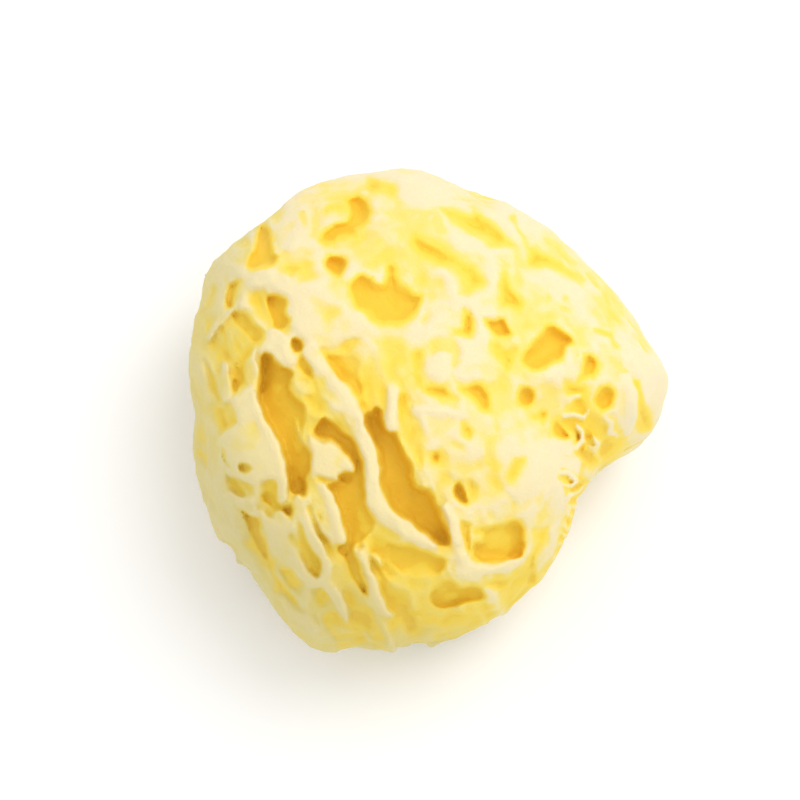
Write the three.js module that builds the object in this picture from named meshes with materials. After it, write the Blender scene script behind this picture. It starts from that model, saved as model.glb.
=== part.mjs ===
// A natural bath sponge: a domed lump of one growth, cut flat underneath, with deep pits, winding
// valleys and thin ribs between them. Millimetres, +Z up, origin in the middle of the cut underside.
import * as THREE from 'three';
import { mergeVertices } from 'three/addons/utils/BufferGeometryUtils.js';

// Driving dimensions.
const HEIGHT = 96;              // from the cut underside to the top of the dome
const EQUATOR = 37;             // height of the widest level
const UNDER_REACH = 53;         // how far below the widest level the round form would end if it weren't cut
const FULLNESS = 2.3;           // 2 is an ellipsoid, and more is fuller towards a box
const RIM_ROUNDING = 1.3;       // radius of the lip around a pit
const RIDGE_BLEND = 1.8;        // radius of the fillet at the foot of a rib
const FLARE = 0.35;             // how much wider the mouth of a pit gets for each millimetre outwards
const START_DETAIL = 12;        // the even mesh that the fine one starts from
const MOST_TRIANGLES = 9900;

// The relief is laid out as it is seen from above and a little in front, in millimetres across and up from
// a middle point at the widest level.
const SIGHT_ELEVATION = 75 * Math.PI / 180;
const SIGHT_DISTANCE = 600;
const LAYOUT_SHIFT = 1.0;       // how far the layout's middle lies to the left of the origin

// The plan outline at the widest level, across and up as in the layout, clockwise from the right.
const OUTLINE = [
  [73.5, 9.5], [72, 4], [69.5, -3], [62, -8.5], [54, -15.5], [48.5, -23], [46.5, -32], [41.5, -42],
  [35, -51], [27, -58], [17, -65], [7, -69], [-2, -70], [-9, -73.5], [-14, -71], [-24, -71.5],
  [-30.5, -70.5], [-37, -64], [-43, -54.5], [-52, -45], [-58.5, -39], [-61.5, -30], [-66, -18],
  [-67, -5], [-70, 5], [-70.5, 18], [-68, 29], [-65.3, 42], [-57, 49.5], [-47, 58], [-37, 66.5],
  [-25, 70], [-15, 72], [-8, 73.5], [4, 71.5], [15, 68], [25, 64], [35, 56.5], [46, 47.5], [58, 36],
  [66, 24],
];

// Swellings of the outer form: across, up, radius, lift.
const SWELLINGS = [
  [-45, 35, 14, 3],
  [-54, -3, 14, 3],
  [8, 16, 14, 2],
  [17, 38, 12, 1.5],
  [30, -14, 16, 2.5],
  [-26, 2, 10, 2],
  [20, -46, 12, 2],
  [58, 4, 12, 4],
  [-30, -30, 14, 1.5],
];

// Low waves all over the outer form: lift, then the size and the shift of each along X, Y and Z.
const WAVES = [
  { lift: 1.1, size: [11, 12, 10], shift: [1.3, 0.4, 0.9] },
  { lift: 0.6, size: [6.1, 5.7, 6.3], shift: [2.1, 1.2, 0] },
];

// Pits and valleys: depth, then points along the pit as across, up, half-width.
const PITS = [
  [4, [-16.5, 68, 2.4], [-12, 68.5, 2.4]],
  [9, [-21.5, 61.5, 4], [-24, 57.5, 3.8], [-28, 54, 2.6], [-30, 52.8, 2.2]],
  [4, [-29, 62, 1.6], [-25.5, 61.5, 2.2]],
  [10, [-27.8, 46, 2.5], [-26.2, 42.8, 2.5]],
  [3, [-38, 58.5, 1.2], [-36.8, 56, 1]],
  [8, [-47.8, 53, 2.4], [-49, 48.5, 3], [-49, 44.8, 3]],
  [3.5, [-45, 44, 1.8], [-39.5, 42.8, 2.8], [-35, 43.5, 1.5]],
  [9, [-44.5, 32, 3], [-43, 27.2, 2.8]],
  [6, [-49.5, 24, 2], [-49, 21.8, 2.3]],
  [7, [-37.8, 20.3, 1.9], [-37, 18, 2.3]],
  [7, [-54.5, 38.8, 1.5], [-57, 34, 2.2], [-56.5, 30, 2.4], [-53.5, 28.2, 2.2]],
  [4, [-61.5, 41, 1.4], [-62, 36, 2], [-64.5, 29.5, 2], [-67, 25, 1.4]],
  [4, [-54, 9.8, 1.2], [-55.5, 5.8, 1.5]],
  [3.5, [-60.5, -1.5, 1.2], [-59.5, -4.5, 1.2], [-57, -1.5, 1.8]],
  [5, [-52.3, -17.3, 1.7], [-50.6, -18.2, 1.7]],

  [14, [-46.3, 14, 2.2], [-44, 8.5, 4.4], [-43.4, 2, 4.6], [-40.5, -6, 3.6], [-38.5, -13, 3.4],
    [-36, -19, 3.2]],
  [20, [-40.2, 10.5, 1.9]],
  [19, [-34.6, -21.5, 1.5]],
  [17, [-43.5, -6, 1], [-41.5, -10.5, 1.2], [-39.8, -15, 1.2]],
  [8, [-37.5, -24, 2.6], [-34, -24.8, 2.4]],
  [7, [-46.5, -22.5, 1.8], [-44.5, -25.5, 2.6], [-40.5, -28, 2.4]],
  [8, [-51, -30, 1.9], [-48.5, -33.5, 2.6], [-46, -38, 2.8], [-44.8, -41.5, 2.2]],
  [7, [-34, -37.5, 2.2], [-32, -42, 2.4], [-29.8, -45.8, 1.8]],

  [13, [-28.8, -4.5, 2.6], [-23.5, -8, 2.2], [-19.5, -12, 2.2], [-18, -18, 2.6], [-19, -25, 4.2],
    [-18.5, -32, 4.4], [-19, -39, 3.4], [-19.5, -45, 3.4], [-17.5, -50, 2.4], [-15.5, -54, 2]],
  [15, [-23.3, -19.3, 1.6], [-20.3, -19.6, 2]],
  [15, [-22.8, -41.2, 1.8], [-21.5, -44.5, 1.8]],

  [18, [-12.8, 1.4, 1.6], [-13, -1.5, 3], [-11.8, -6, 4], [-7.5, -13, 5.2], [-5.2, -20, 5.1],
    [0, -25, 6.2], [3.5, -29.5, 6], [7, -34, 3.6]],
  [4, [-5.6, 6.8, 1.3], [-5.3, 2.5, 1.5], [-4.8, -2, 1.6]],
  [8, [-24.5, 16.5, 2.6], [-22.5, 12.5, 4], [-19.5, 8, 3.2], [-17.2, 3.5, 1.6]],
  [4, [-33.5, 13, 3.2], [-30.5, 8, 3]],

  [13, [-20.3, 38.3, 3.4], [-15.5, 35.3, 4.6], [-9.5, 33, 5.6], [-6.5, 30.5, 4.6]],
  [9, [-9.5, 45.3, 2], [-9.8, 40.5, 2.4]],
  [21, [-9.5, 34, 3.6], [-8.2, 31, 2.8]],
  [5, [-3.5, 35, 3], [-1.5, 31.5, 2]],

  [5, [-3.5, 53.2, 2.2], [1.5, 49.8, 3.2], [7.5, 47, 3], [12.5, 44.5, 3], [14.5, 40.5, 2.6]],
  [5.5, [7, 60.3, 1.8], [11, 59, 2.6], [15, 57.3, 3.6], [19.5, 55, 3.2], [21, 52.3, 1.6]],
  [4.5, [23, 42.5, 1.6], [24, 37.5, 2.2], [27.3, 34.3, 1.8]],
  [4.5, [27.5, 57, 1.2], [30, 53.5, 1.4], [33.3, 49, 3], [38, 47, 2.4], [43, 44.6, 2], [46.5, 42, 1.4]],
  [6, [10, 25.3, 1], [13, 26.5, 2], [14.2, 28.6, 2.2]],
  [7, [21, 28, 2], [25.5, 28.5, 2.8], [24.5, 26, 2.2]],
  [4, [22.5, 19.5, 1.8], [26.5, 17.8, 2.2]],

  [13, [41.5, 25.5, 3.6], [37.5, 22.5, 4.6], [33.5, 18.8, 4]],
  [17, [33.2, 18.2, 2.6]],
  [6.5, [50.8, 18.7, 2.6], [52.3, 15.8, 2]],
  [10, [55.8, 8.8, 3.4], [55, 5.8, 3]],
  [8, [65.3, 12.8, 1.4], [66.4, 8, 1.8], [67.3, 3, 2.1], [67.6, -0.5, 2.1]],
  [7, [31.3, 8.8, 2.4], [31.6, 5.6, 2.8]],
  [6.5, [14, 9, 1.4], [17, 8, 2.5], [19.5, 4.8, 2.8], [20.6, 2.6, 1.8]],
  [5, [36.8, 1.5, 1.6], [36.2, -0.3, 1.4], [34, 0.3, 1.2]],
  [9, [42, -1.5, 2.3], [44.2, -3.9, 1.9]],
  [5, [46, 13, 2.2], [46, 8, 2.6], [47, 4, 2.6]],
  [12, [47.8, -3, 3.4], [49, -7.5, 3.4], [49, -11.5, 2.8], [50, -14, 2]],
  [9, [54.8, -9.5, 2.2], [56, -6.2, 1.8]],
  [3.5, [-1.8, 17, 1.2], [-1, 12.5, 1.7], [1.8, 8.6, 1.9], [6, 6.9, 2.2], [10, 6, 1.5]],
  [4.5, [15, -3, 1.5], [15.2, -5.6, 1.4]],
  [6.5, [4.5, -11.8, 2.4], [4.6, -14, 2.2]],
  [13, [12.5, -20, 1.4], [13.5, -23.2, 1.7]],
  [3.5, [16, -19, 2], [17.5, -23, 2.2]],
  [3.5, [21, -8.5, 1.5], [21.5, -12, 2], [24, -16, 1.8]],
  [2.8, [29.6, -13, 1.5], [28.6, -17.8, 1.7]],

  [11, [21.5, -37.5, 4.6], [25.5, -36.5, 5.4], [28.8, -35, 3.6]],
  [7, [36.3, -33.5, 1.6], [34.8, -39, 1.8], [31.5, -44, 2], [29.5, -48, 2.6], [26.5, -49.5, 2.2]],
  [9, [10.5, -53, 3.4], [15.5, -52.3, 3.8]],
  [9, [-5, -42.6, 4.8], [0.5, -44.5, 5.2], [4, -46.5, 4.4]],
  [4, [-14.8, -61.5, 2.4], [-13.2, -64, 1.8]],
];

// Ribs and crests that stand up from the outer form: lift, then points as across, up, half-width.
const RIDGES = [
  [1.2, [-33.5, 19, 1.4], [-29.5, 13.5, 1.6], [-25, 8.3, 1.8], [-20.5, 3.5, 1.8], [-17.8, -1.5, 1.6],
    [-16.5, -8, 1.6], [-14, -15, 1.6], [-12.9, -21, 1.6], [-11.5, -27, 1.7], [-7.5, -31.7, 1.7],
    [-2, -34.8, 1.7], [3, -37.3, 1.5], [6, -38.3, 0.9]],
  [0.8, [0.8, -20.5, 1], [5.5, -22.3, 1.1], [8.3, -26.5, 1.2], [10.3, -31, 1.2], [12, -36.5, 1]],
  [1.2, [14.5, -41, 1.2], [16, -46, 1.8], [20.5, -45.7, 1.7], [26, -44.7, 1.4], [31, -42, 1.1]],
  [1.2, [-15.5, -44, 0.9], [-12.8, -50, 1.4], [-9.5, -56.5, 1.6], [-6.6, -60, 1.3]],
  [1.2, [-8.3, 7, 1.1], [-8.1, 2, 1.3], [-7.6, -2.4, 1.3]],
  [0.8, [-49.5, 5, 1], [-48.5, 1, 1], [-46, -5, 1.1], [-42.8, -10.5, 1.2], [-40.8, -16, 1.2],
    [-39.4, -22, 1.1], [-39.8, -26.5, 0.8]],
  [0.8, [-55, 31, 1], [-54, 36, 1.4], [-50.5, 40, 1.8], [-45, 40.8, 1.8], [-40, 39, 1.6]],
  [0.8, [62, 13, 1.4], [64, 8, 1.4], [64.2, 2, 1.3], [62.5, -3, 1]],
];

// Canals that open in the cut underside: x, y, radius, depth.
const CANALS = [
  [24, 8, 3.6, 9], [-20, 16, 4, 10], [6, 29, 3.2, 8], [-8, -25, 4.2, 10], [31, -15, 3, 7],
  [-34, -6, 3.4, 9], [39, 13, 3.4, 7], [-26, 37, 3.6, 8], [14, -39, 3.4, 8], [-32, -30, 3.2, 7],
  [28, 35, 3.4, 7], [-46, 15, 3, 6], [0, 47, 3, 6],
];

// Pits of the sides, which the layout doesn't reach: how many places are tried, how many points a pit
// has, the step between them, and the least and greatest half-width and depth.
const SIDE_PITS = [
  { tried: 90, points: 3, step: 6.5, radius: [3.8, 5.8], depth: [9, 15] },
  { tried: 300, points: 2, step: 4, radius: [2.2, 3.6], depth: [5, 9] },
];
const SIDE_WALL = 1.6;          // the thinnest wall left between two of them
const SIDE_FACING = 0.58;       // the most that one of them may face the eye
const GOLDEN_ANGLE = Math.PI * (3 - Math.sqrt(5));

const centre = new THREE.Vector3(0, 0, EQUATOR);
const towardsEye = new THREE.Vector3(0, -Math.cos(SIGHT_ELEVATION), Math.sin(SIGHT_ELEVATION));
const acrossAxis = new THREE.Vector3(1, 0, 0);
const upAxis = new THREE.Vector3().crossVectors(towardsEye, acrossAxis);
const layoutMiddle = centre.clone().addScaledVector(acrossAxis, -LAYOUT_SHIFT);
const eye = layoutMiddle.clone().addScaledVector(towardsEye, SIGHT_DISTANCE);

const between = ([least, most], share) => least + (most - least) * share;

// A repeatable number from 0 to 1 for the whole numbers a and b.
function scatter(a, b) {
  const x = Math.sin(a * 127.1 + b * 311.7) * 43758.5453;
  return x - Math.floor(x);
}

// The plan radius in each direction: straight between the outline's points, then the mean of what is
// within a few steps.
const PLAN_STEPS = 360;
const PLAN_SMOOTHING = 2;
function planRadii() {
  const points = OUTLINE.map(([across, up]) => new THREE.Vector2(across - LAYOUT_SHIFT, up));
  const sorted = points.map((q) => [q.angle(), q.length()]).sort((a, b) => a[0] - b[0]);
  const turn = 2 * Math.PI;
  const first = sorted[0];
  const last = sorted[sorted.length - 1];
  const ring = [[last[0] - turn, last[1]], ...sorted, [first[0] + turn, first[1]]];
  const straight = [];
  for (let i = 0; i < PLAN_STEPS; i++) {
    const angle = (i / PLAN_STEPS) * turn;
    const k = ring.findIndex((q) => q[0] > angle);
    const t = (angle - ring[k - 1][0]) / (ring[k][0] - ring[k - 1][0]);
    straight.push(between([ring[k - 1][1], ring[k][1]], t));
  }
  const window = 2 * PLAN_SMOOTHING + 1;
  return straight.map((_, i) => {
    let sum = 0;
    for (let k = 0; k < window; k++) sum += straight[(i + k - PLAN_SMOOTHING + PLAN_STEPS) % PLAN_STEPS];
    return sum / window;
  });
}
const plan = planRadii();

function planRadius(angle) {
  const place = ((angle / (2 * Math.PI)) * PLAN_STEPS + PLAN_STEPS) % PLAN_STEPS;
  const i = Math.floor(place);
  return between([plan[i % PLAN_STEPS], plan[(i + 1) % PLAN_STEPS]], place - i);
}

function waves(p) {
  let lift = 0;
  for (const w of WAVES) {
    const ripple = (i, place) => Math.sin(place / w.size[i] + w.shift[i]);
    lift += w.lift * ripple(0, p.x) * ripple(1, p.y) * ripple(2, p.z);
  }
  return lift;
}

// The distance of p outside the plain domed form, measured along the line from the centre.
function domeDistance(p) {
  const z = p.z - EQUATOR;
  const flat = Math.hypot(p.x, p.y) / planRadius(Math.atan2(p.y, p.x));
  const tall = Math.abs(z) / (z > 0 ? HEIGHT - EQUATOR : UNDER_REACH);
  const share = Math.pow(Math.pow(flat, FULLNESS) + Math.pow(tall, FULLNESS), 1 / FULLNESS);
  return Math.hypot(p.x, p.y, z) * (1 - 1 / Math.max(share, 1e-6));
}

const swellings = [];

// The outer form, before any pit: the dome with its swellings and waves.
function outerDistance(p) {
  let d = domeDistance(p) - waves(p);
  for (const s of swellings) {
    d -= s.lift * Math.exp(-p.distanceToSquared(s.at) / (s.radius * s.radius));
  }
  return d;
}

// The first point of a form along a ray from outside, or null where the ray misses it.
const HALVINGS = 18;
function firstHit(distance, from, direction, start, end, step) {
  const at = (t) => from.clone().addScaledVector(direction, t);
  for (let t = start; t <= end; t += step) {
    if (distance(at(t)) > 0) continue;
    let [outside, inside] = [t - step, t];
    for (let i = 0; i < HALVINGS; i++) {
      const middle = (outside + inside) / 2;
      if (distance(at(middle)) <= 0) inside = middle;
      else outside = middle;
    }
    return at(inside);
  }
  return null;
}

// The point of a form in a direction from the centre.
const OUTSIDE = 110;            // further from the centre than any of the sponge
const COARSE_STEP = 1;
const FINE_STEP = 0.6;
function surfaceAt(distance, direction, step) {
  const start = centre.clone().addScaledVector(direction, OUTSIDE);
  return firstHit(distance, start, direction.clone().negate(), 0, OUTSIDE, step);
}

// The point of the outer form that is seen at a place of the layout. A place that just misses the form
// moves towards the middle until it is on it.
const LEAST_SHARE = 0.5;
const SHARE_STEP = 0.01;
function seenAt(across, up) {
  const [start, end] = [SIGHT_DISTANCE - OUTSIDE, SIGHT_DISTANCE + EQUATOR];
  for (let share = 1; share > LEAST_SHARE; share -= SHARE_STEP) {
    const aim = layoutMiddle.clone()
      .addScaledVector(acrossAxis, across * share)
      .addScaledVector(upAxis, up * share);
    const hit = firstHit(outerDistance, eye, aim.sub(eye).normalize(), start, end, COARSE_STEP);
    if (hit) return hit;
  }
  throw new Error('a place of the layout is far outside the sponge');
}

const SLOPE_STEP = 0.5;
function outwardNormal(p) {
  const e = SLOPE_STEP;
  const slope = (x, y, z) => {
    const step = new THREE.Vector3(x, y, z);
    return outerDistance(p.clone().add(step)) - outerDistance(p.clone().sub(step));
  };
  return new THREE.Vector3(slope(e, 0, 0), slope(0, e, 0), slope(0, 0, e)).normalize();
}

// A chain of round sections, with a ball around everything that it touches.
const SPARE_REACH = 4;
function chain(points, depth) {
  const middle = new THREE.Box3().setFromPoints(points.map((q) => q.at)).getCenter(new THREE.Vector3());
  const widest = Math.max(...points.map((q) => q.radius));
  const length = Math.max(...points.map((q) => q.at.distanceTo(middle)));
  const reach = length + Math.hypot(widest + SPARE_REACH, depth + SPARE_REACH);
  return { points, depth, middle, reach };
}

// A laid pit goes in halfway between straight down the line of sight and square to the surface.
function laidPit([depth, ...places]) {
  return chain(places.map(([across, up, radius]) => {
    const at = seenAt(across, up);
    const inward = outwardNormal(at).add(towardsEye).normalize().negate();
    return { at, radius, inward };
  }), depth);
}

function laidRidge([lift, ...places]) {
  return chain(places.map(([across, up, radius]) => {
    const at = seenAt(across, up);
    return { at: at.addScaledVector(outwardNormal(at), lift - radius), radius };
  }), 0);
}

function canal([x, y, radius, depth]) {
  return chain([{ at: new THREE.Vector3(x, y, 0), radius, inward: new THREE.Vector3(0, 0, 1) }], depth);
}

// A side pit wanders along the surface from a place of an even spiral over the whole form. The salts keep
// its random numbers apart.
const TURNING = 2;              // the most radians between one step and the next, twice
const KIND_SALT = 10;
const FIRST_SALT = 3;
const TURN_SALT = 5;
const DEPTH_SALT = 9;
function sidePit(i, kind, salt) {
  const height = 1 - (2 * i + 1) / kind.tried;
  const flat = Math.sqrt(1 - height * height);
  const around = i * GOLDEN_ANGLE + salt;
  const direction = new THREE.Vector3(flat * Math.cos(around), flat * Math.sin(around), height);
  const points = [];
  let heading = scatter(i, salt) * 2 * Math.PI;
  for (let k = 0; k < kind.points; k++) {
    const at = surfaceAt(outerDistance, direction, COARSE_STEP);
    const radius = between(kind.radius, scatter(i, salt + 1 + k));
    points.push({ at, radius, inward: direction.clone().negate() });
    const normal = outwardNormal(at);
    const side = new THREE.Vector3(0, 0, 1).cross(normal).normalize().applyAxisAngle(normal, heading);
    direction.copy(at).addScaledVector(side, kind.step).sub(centre).normalize();
    heading += (scatter(i, salt + TURN_SALT + k) - 0.5) * TURNING;
  }
  return chain(points, between(kind.depth, scatter(i, salt + DEPTH_SALT)));
}

function touches(a, b) {
  return a.points.some((p) => b.points.some((q) => p.at.distanceTo(q.at) < p.radius + q.radius + SIDE_WALL));
}

function sidePits(laid) {
  const made = [];
  const hidden = (q) => q.inward.dot(towardsEye) > -SIDE_FACING && q.at.z > q.radius + 1;
  SIDE_PITS.forEach((kind, order) => {
    for (let i = 0; i < kind.tried; i++) {
      const pit = sidePit(i, kind, KIND_SALT * order + FIRST_SALT);
      const free = ![...laid, ...made].some((other) => touches(pit, other));
      if (free && pit.points.every(hidden)) made.push(pit);
    }
  });
  return made;
}

// The nearest place of a chain to p, as a section between two of its points.
function sectionAt(c, p) {
  const found = { off: Infinity };
  const sections = Math.max(1, c.points.length - 1);
  for (let i = 0; i < sections; i++) {
    const a = c.points[i];
    const b = c.points[Math.min(i + 1, c.points.length - 1)];
    const along = b.at.clone().sub(a.at);
    const t = THREE.MathUtils.clamp(p.clone().sub(a.at).dot(along) / Math.max(along.lengthSq(), 1e-9), 0, 1);
    const at = a.at.clone().addScaledVector(along, t);
    const radius = between([a.radius, b.radius], t);
    const off = p.distanceTo(at) - radius;
    if (off < found.off) Object.assign(found, { off, at, radius, a, b, t });
  }
  return found;
}

// How far p is outside a pit: a round-bottomed hollow whose mouth flares outwards.
function pitDistance(c, p) {
  const s = sectionAt(c, p);
  const inward = s.a.inward.clone().lerp(s.b.inward, s.t).normalize();
  const offset = p.clone().sub(s.at);
  const down = offset.dot(inward);
  const side = Math.sqrt(Math.max(offset.lengthSq() - down * down, 0));
  if (down < 0) return side - s.radius + FLARE * down;
  return (Math.sqrt((side / s.radius) ** 2 + down / c.depth) - 1) * s.radius;
}

function smoothMax(a, b, k) {
  const h = Math.max(k - Math.abs(a - b), 0) / k;
  return Math.max(a, b) + h * h * k / 4;
}

for (const [across, up, radius, lift] of SWELLINGS) {
  swellings.push({ at: seenAt(across, up), radius, lift });
}
const laidPits = PITS.map(laidPit);
const pits = [...laidPits, ...sidePits(laidPits), ...CANALS.map(canal)];
const ridges = RIDGES.map(laidRidge);

// The finished form along one ray from the centre: only the pits and ribs near the ray count.
function formAlong(direction) {
  const near = (c) => {
    const offset = c.middle.clone().sub(centre);
    const along = Math.max(offset.dot(direction), 0);
    return offset.addScaledVector(direction, -along).length() < c.reach;
  };
  const nearPits = pits.filter(near);
  const nearRidges = ridges.filter(near);
  return (p) => {
    let d = outerDistance(p);
    for (const c of nearRidges) d = -smoothMax(-d, -sectionAt(c, p).off, RIDGE_BLEND);
    d = Math.max(d, -p.z);
    for (const c of nearPits) d = smoothMax(d, -pitDistance(c, p), RIM_ROUNDING);
    return d;
  };
}

const SNAP = 0.02;              // a point this near the cut underside lies on it
function formPoint(direction) {
  const hit = surfaceAt(formAlong(direction), direction, FINE_STEP);
  if (hit.z < SNAP) hit.z = 0;
  return hit;
}

// The even mesh that the fine one starts from: directions, their points on the form, triangles, and the
// middles of the edges that have been looked at.
const MERGE_WITHIN = 1e-5;
function evenMesh() {
  const ball = new THREE.IcosahedronGeometry(1, START_DETAIL);
  ball.deleteAttribute('normal');
  ball.deleteAttribute('uv');
  const merged = mergeVertices(ball, MERGE_WITHIN);
  const position = merged.getAttribute('position');
  const directions = [];
  for (let i = 0; i < position.count; i++) {
    directions.push(new THREE.Vector3().fromBufferAttribute(position, i).normalize());
  }
  const index = merged.getIndex().array;
  const triangles = [];
  for (let i = 0; i < index.length; i += 3) triangles.push([index[i], index[i + 1], index[i + 2]]);
  return { directions, points: directions.map(formPoint), triangles, middles: new Map() };
}

const MOST_POINTS = 1e6;        // more than the mesh has, so that each edge has a key of its own
const keyOf = (a, b) => Math.min(a, b) * MOST_POINTS + Math.max(a, b);
const edgesOf = ([a, b, c]) => [[a, b], [b, c], [c, a]];

// The angle that an edge takes up as seen from the centre, with a trace of its key so that no two are equal.
const TRACE = 1e-15;
function lookOf(mesh, [a, b]) {
  return mesh.directions[a].distanceTo(mesh.directions[b]) * (1 + keyOf(a, b) * TRACE);
}

const longestOf = (mesh, t) => edgesOf(t).reduce((x, e) => (lookOf(mesh, e) > lookOf(mesh, x) ? e : x));

// The place where an edge would be split, and how far the edge is from the form there.
const SHORTEST_SPLIT = 2.3;     // an edge that looks shorter than this isn't split
function middleOf(mesh, [a, b]) {
  const key = keyOf(a, b);
  if (!mesh.middles.has(key)) {
    const halfway = mesh.points[a].clone().add(mesh.points[b]).multiplyScalar(0.5);
    const direction = mesh.directions[a].clone().add(mesh.directions[b]).normalize();
    const at = formPoint(direction);
    const tooShort = lookOf(mesh, [a, b]) * halfway.distanceTo(centre) < SHORTEST_SPLIT;
    mesh.middles.set(key, { direction, at, error: tooShort ? 0 : at.distanceTo(halfway) });
  }
  return mesh.middles.get(key);
}

// The triangles on each edge, by the edge's key.
function ownersOf(triangles) {
  const owners = new Map();
  triangles.forEach((t, i) => {
    for (const e of edgesOf(t)) owners.set(keyOf(...e), [...(owners.get(keyOf(...e)) ?? []), i]);
  });
  return owners;
}

// The edge to split for triangle i: its longest one, or one further on that is the longest of both the
// triangles on it, so that no triangle gets thin.
function edgeToSplit(mesh, owners, i) {
  let edge = longestOf(mesh, mesh.triangles[i]);
  let current = i;
  for (;;) {
    const passed = current;
    current = owners.get(keyOf(...edge)).find((k) => k !== passed);
    const next = longestOf(mesh, mesh.triangles[current]);
    if (keyOf(...next) === keyOf(...edge)) return edge;
    edge = next;
  }
}

// The edges that one round splits: those of the triangles that are furthest from the form.
const WORST_SHARE = 0.06;       // the share of the triangles that one round works on
function worstEdges(mesh, owners) {
  const { triangles } = mesh;
  const errors = triangles.map((t) => Math.max(...edgesOf(t).map((e) => middleOf(mesh, e).error)));
  const order = triangles.map((_, i) => i).sort((i, j) => errors[j] - errors[i]);
  const splits = new Map();
  for (const i of order.slice(0, Math.ceil(WORST_SHARE * triangles.length))) {
    if (triangles.length + 2 * splits.size >= MOST_TRIANGLES || errors[i] === 0) break;
    const edge = edgeToSplit(mesh, owners, i);
    splits.set(keyOf(...edge), edge);
  }
  return splits;
}

function splitEdge(mesh, [a, b], twoTriangles) {
  const { direction, at } = middleOf(mesh, [a, b]);
  const made = mesh.points.push(at) - 1;
  mesh.directions.push(direction);
  for (const i of twoTriangles) {
    const t = mesh.triangles[i];
    mesh.triangles.push(t.map((v) => (v === a ? made : v)));
    mesh.triangles[i] = t.map((v) => (v === b ? made : v));
  }
}

function refine(mesh) {
  for (;;) {
    const owners = ownersOf(mesh.triangles);
    const splits = worstEdges(mesh, owners);
    if (splits.size === 0) return;
    for (const [key, edge] of splits) splitEdge(mesh, edge, owners.get(key));
  }
}

// Moves each point, except those near the cut underside, part of the way to the mean distance of its
// neighbours from the centre, so that the steep walls of the pits have no jagged edges.
const SOFTENING = 0.5;
const SOFTEN_ABOVE = 5;
function soften({ points, triangles }) {
  const sums = points.map(() => [0, 0]);
  for (const [a, b] of triangles.flatMap(edgesOf)) {
    sums[a][0] += points[b].distanceTo(centre);
    sums[a][1] += 1;
  }
  points.forEach((p, i) => {
    if (p.z < SOFTEN_ABOVE) return;
    const own = p.distanceTo(centre);
    const share = between([own, sums[i][0] / sums[i][1]], SOFTENING) / own;
    p.sub(centre).multiplyScalar(share).add(centre);
  });
}

function spongeGeometry() {
  const mesh = evenMesh();
  refine(mesh);
  soften(mesh);
  const geometry = new THREE.BufferGeometry().setFromPoints(mesh.points);
  geometry.setIndex(mesh.triangles.flat());
  geometry.computeVertexNormals();
  return geometry;
}

const sponge = new THREE.Mesh(
  spongeGeometry(),
  new THREE.MeshStandardMaterial({ color: 0xf6e3a0, roughness: 0.9, metalness: 0 }),
);
sponge.name = 'sponge';

const root = new THREE.Group();
root.add(sponge);
export default root;
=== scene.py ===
import math

import bpy
import numpy as np
import openvdb
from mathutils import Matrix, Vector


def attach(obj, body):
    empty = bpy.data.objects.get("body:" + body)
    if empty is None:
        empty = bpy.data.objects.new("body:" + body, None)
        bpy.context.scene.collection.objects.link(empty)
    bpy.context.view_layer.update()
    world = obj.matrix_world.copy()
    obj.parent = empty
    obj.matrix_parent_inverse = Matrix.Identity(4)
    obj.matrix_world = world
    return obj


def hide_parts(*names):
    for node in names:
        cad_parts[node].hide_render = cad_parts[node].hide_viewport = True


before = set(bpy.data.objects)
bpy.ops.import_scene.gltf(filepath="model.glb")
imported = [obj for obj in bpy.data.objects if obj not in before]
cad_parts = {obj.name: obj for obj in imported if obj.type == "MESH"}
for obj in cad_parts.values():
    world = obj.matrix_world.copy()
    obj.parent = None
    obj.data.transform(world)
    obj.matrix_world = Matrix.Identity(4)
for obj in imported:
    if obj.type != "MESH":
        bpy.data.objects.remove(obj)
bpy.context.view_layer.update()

# A natural bath sponge. Its form is worked out in millimetres as a field on a fine grid: the domed outer
# form with its swellings, the ribs that stand up from it, and the hollows and pits that are dug in it. The
# field is meshed in one piece, which is coloured by how deep each place of it lies; the darker, deeper
# golden of the hollows is partly the sponge's own colour and partly painted shade.
MM = 0.001

# The same driving dimensions as the solid's.
HEIGHT = 96.0                   # from the cut underside to the top of the dome
EQUATOR = 37.0                  # height of the widest level
UNDER_REACH = 53.0              # how far below the widest level the round form would end if it weren't cut
FULLNESS = 2.3                  # 2 is an ellipsoid, and more is fuller towards a box
RIDGE_BLEND = 1.8               # radius of the fillet at the foot of a rib
FLARE = 0.35                    # how much wider the mouth of a pit gets for each millimetre outwards

# The relief is laid out as the camera sees it, in millimetres across and up from a middle point at the
# widest level.
SIGHT_ELEVATION = math.radians(75)
SIGHT_DISTANCE = 600.0
LAYOUT_SHIFT = 1.0              # how far the layout's middle lies to the left of the origin

# The plan outline at the widest level, across and up as in the layout, clockwise from the right.
OUTLINE = [
    [73.5, 9.5], [72, 4], [69.5, -3], [62, -8.5], [54, -15.5], [48.5, -23], [46.5, -32], [41.5, -42],
    [35, -51], [27, -58], [17, -65], [7, -69], [-2, -70], [-9, -73.5], [-14, -71], [-24, -71.5],
    [-30.5, -70.5], [-37, -64], [-43, -54.5], [-52, -45], [-58.5, -39], [-61.5, -30], [-66, -18],
    [-67, -5], [-70, 5], [-70.5, 18], [-68, 29], [-65.3, 42], [-57, 49.5], [-47, 58], [-37, 66.5],
    [-25, 70], [-15, 72], [-8, 73.5], [4, 71.5], [15, 68], [25, 64], [35, 56.5], [46, 47.5], [58, 36],
    [66, 24],
]

# Swellings of the outer form: across, up, radius, lift.
SWELLINGS = [
    [-45, 35, 14, 3],
    [-54, -3, 14, 3],
    [8, 16, 14, 2],
    [17, 38, 12, 1.5],
    [30, -14, 16, 2.5],
    [-26, 2, 10, 2],
    [20, -46, 12, 2],
    [58, 4, 12, 4],
    [-30, -30, 14, 1.5],
]

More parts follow.
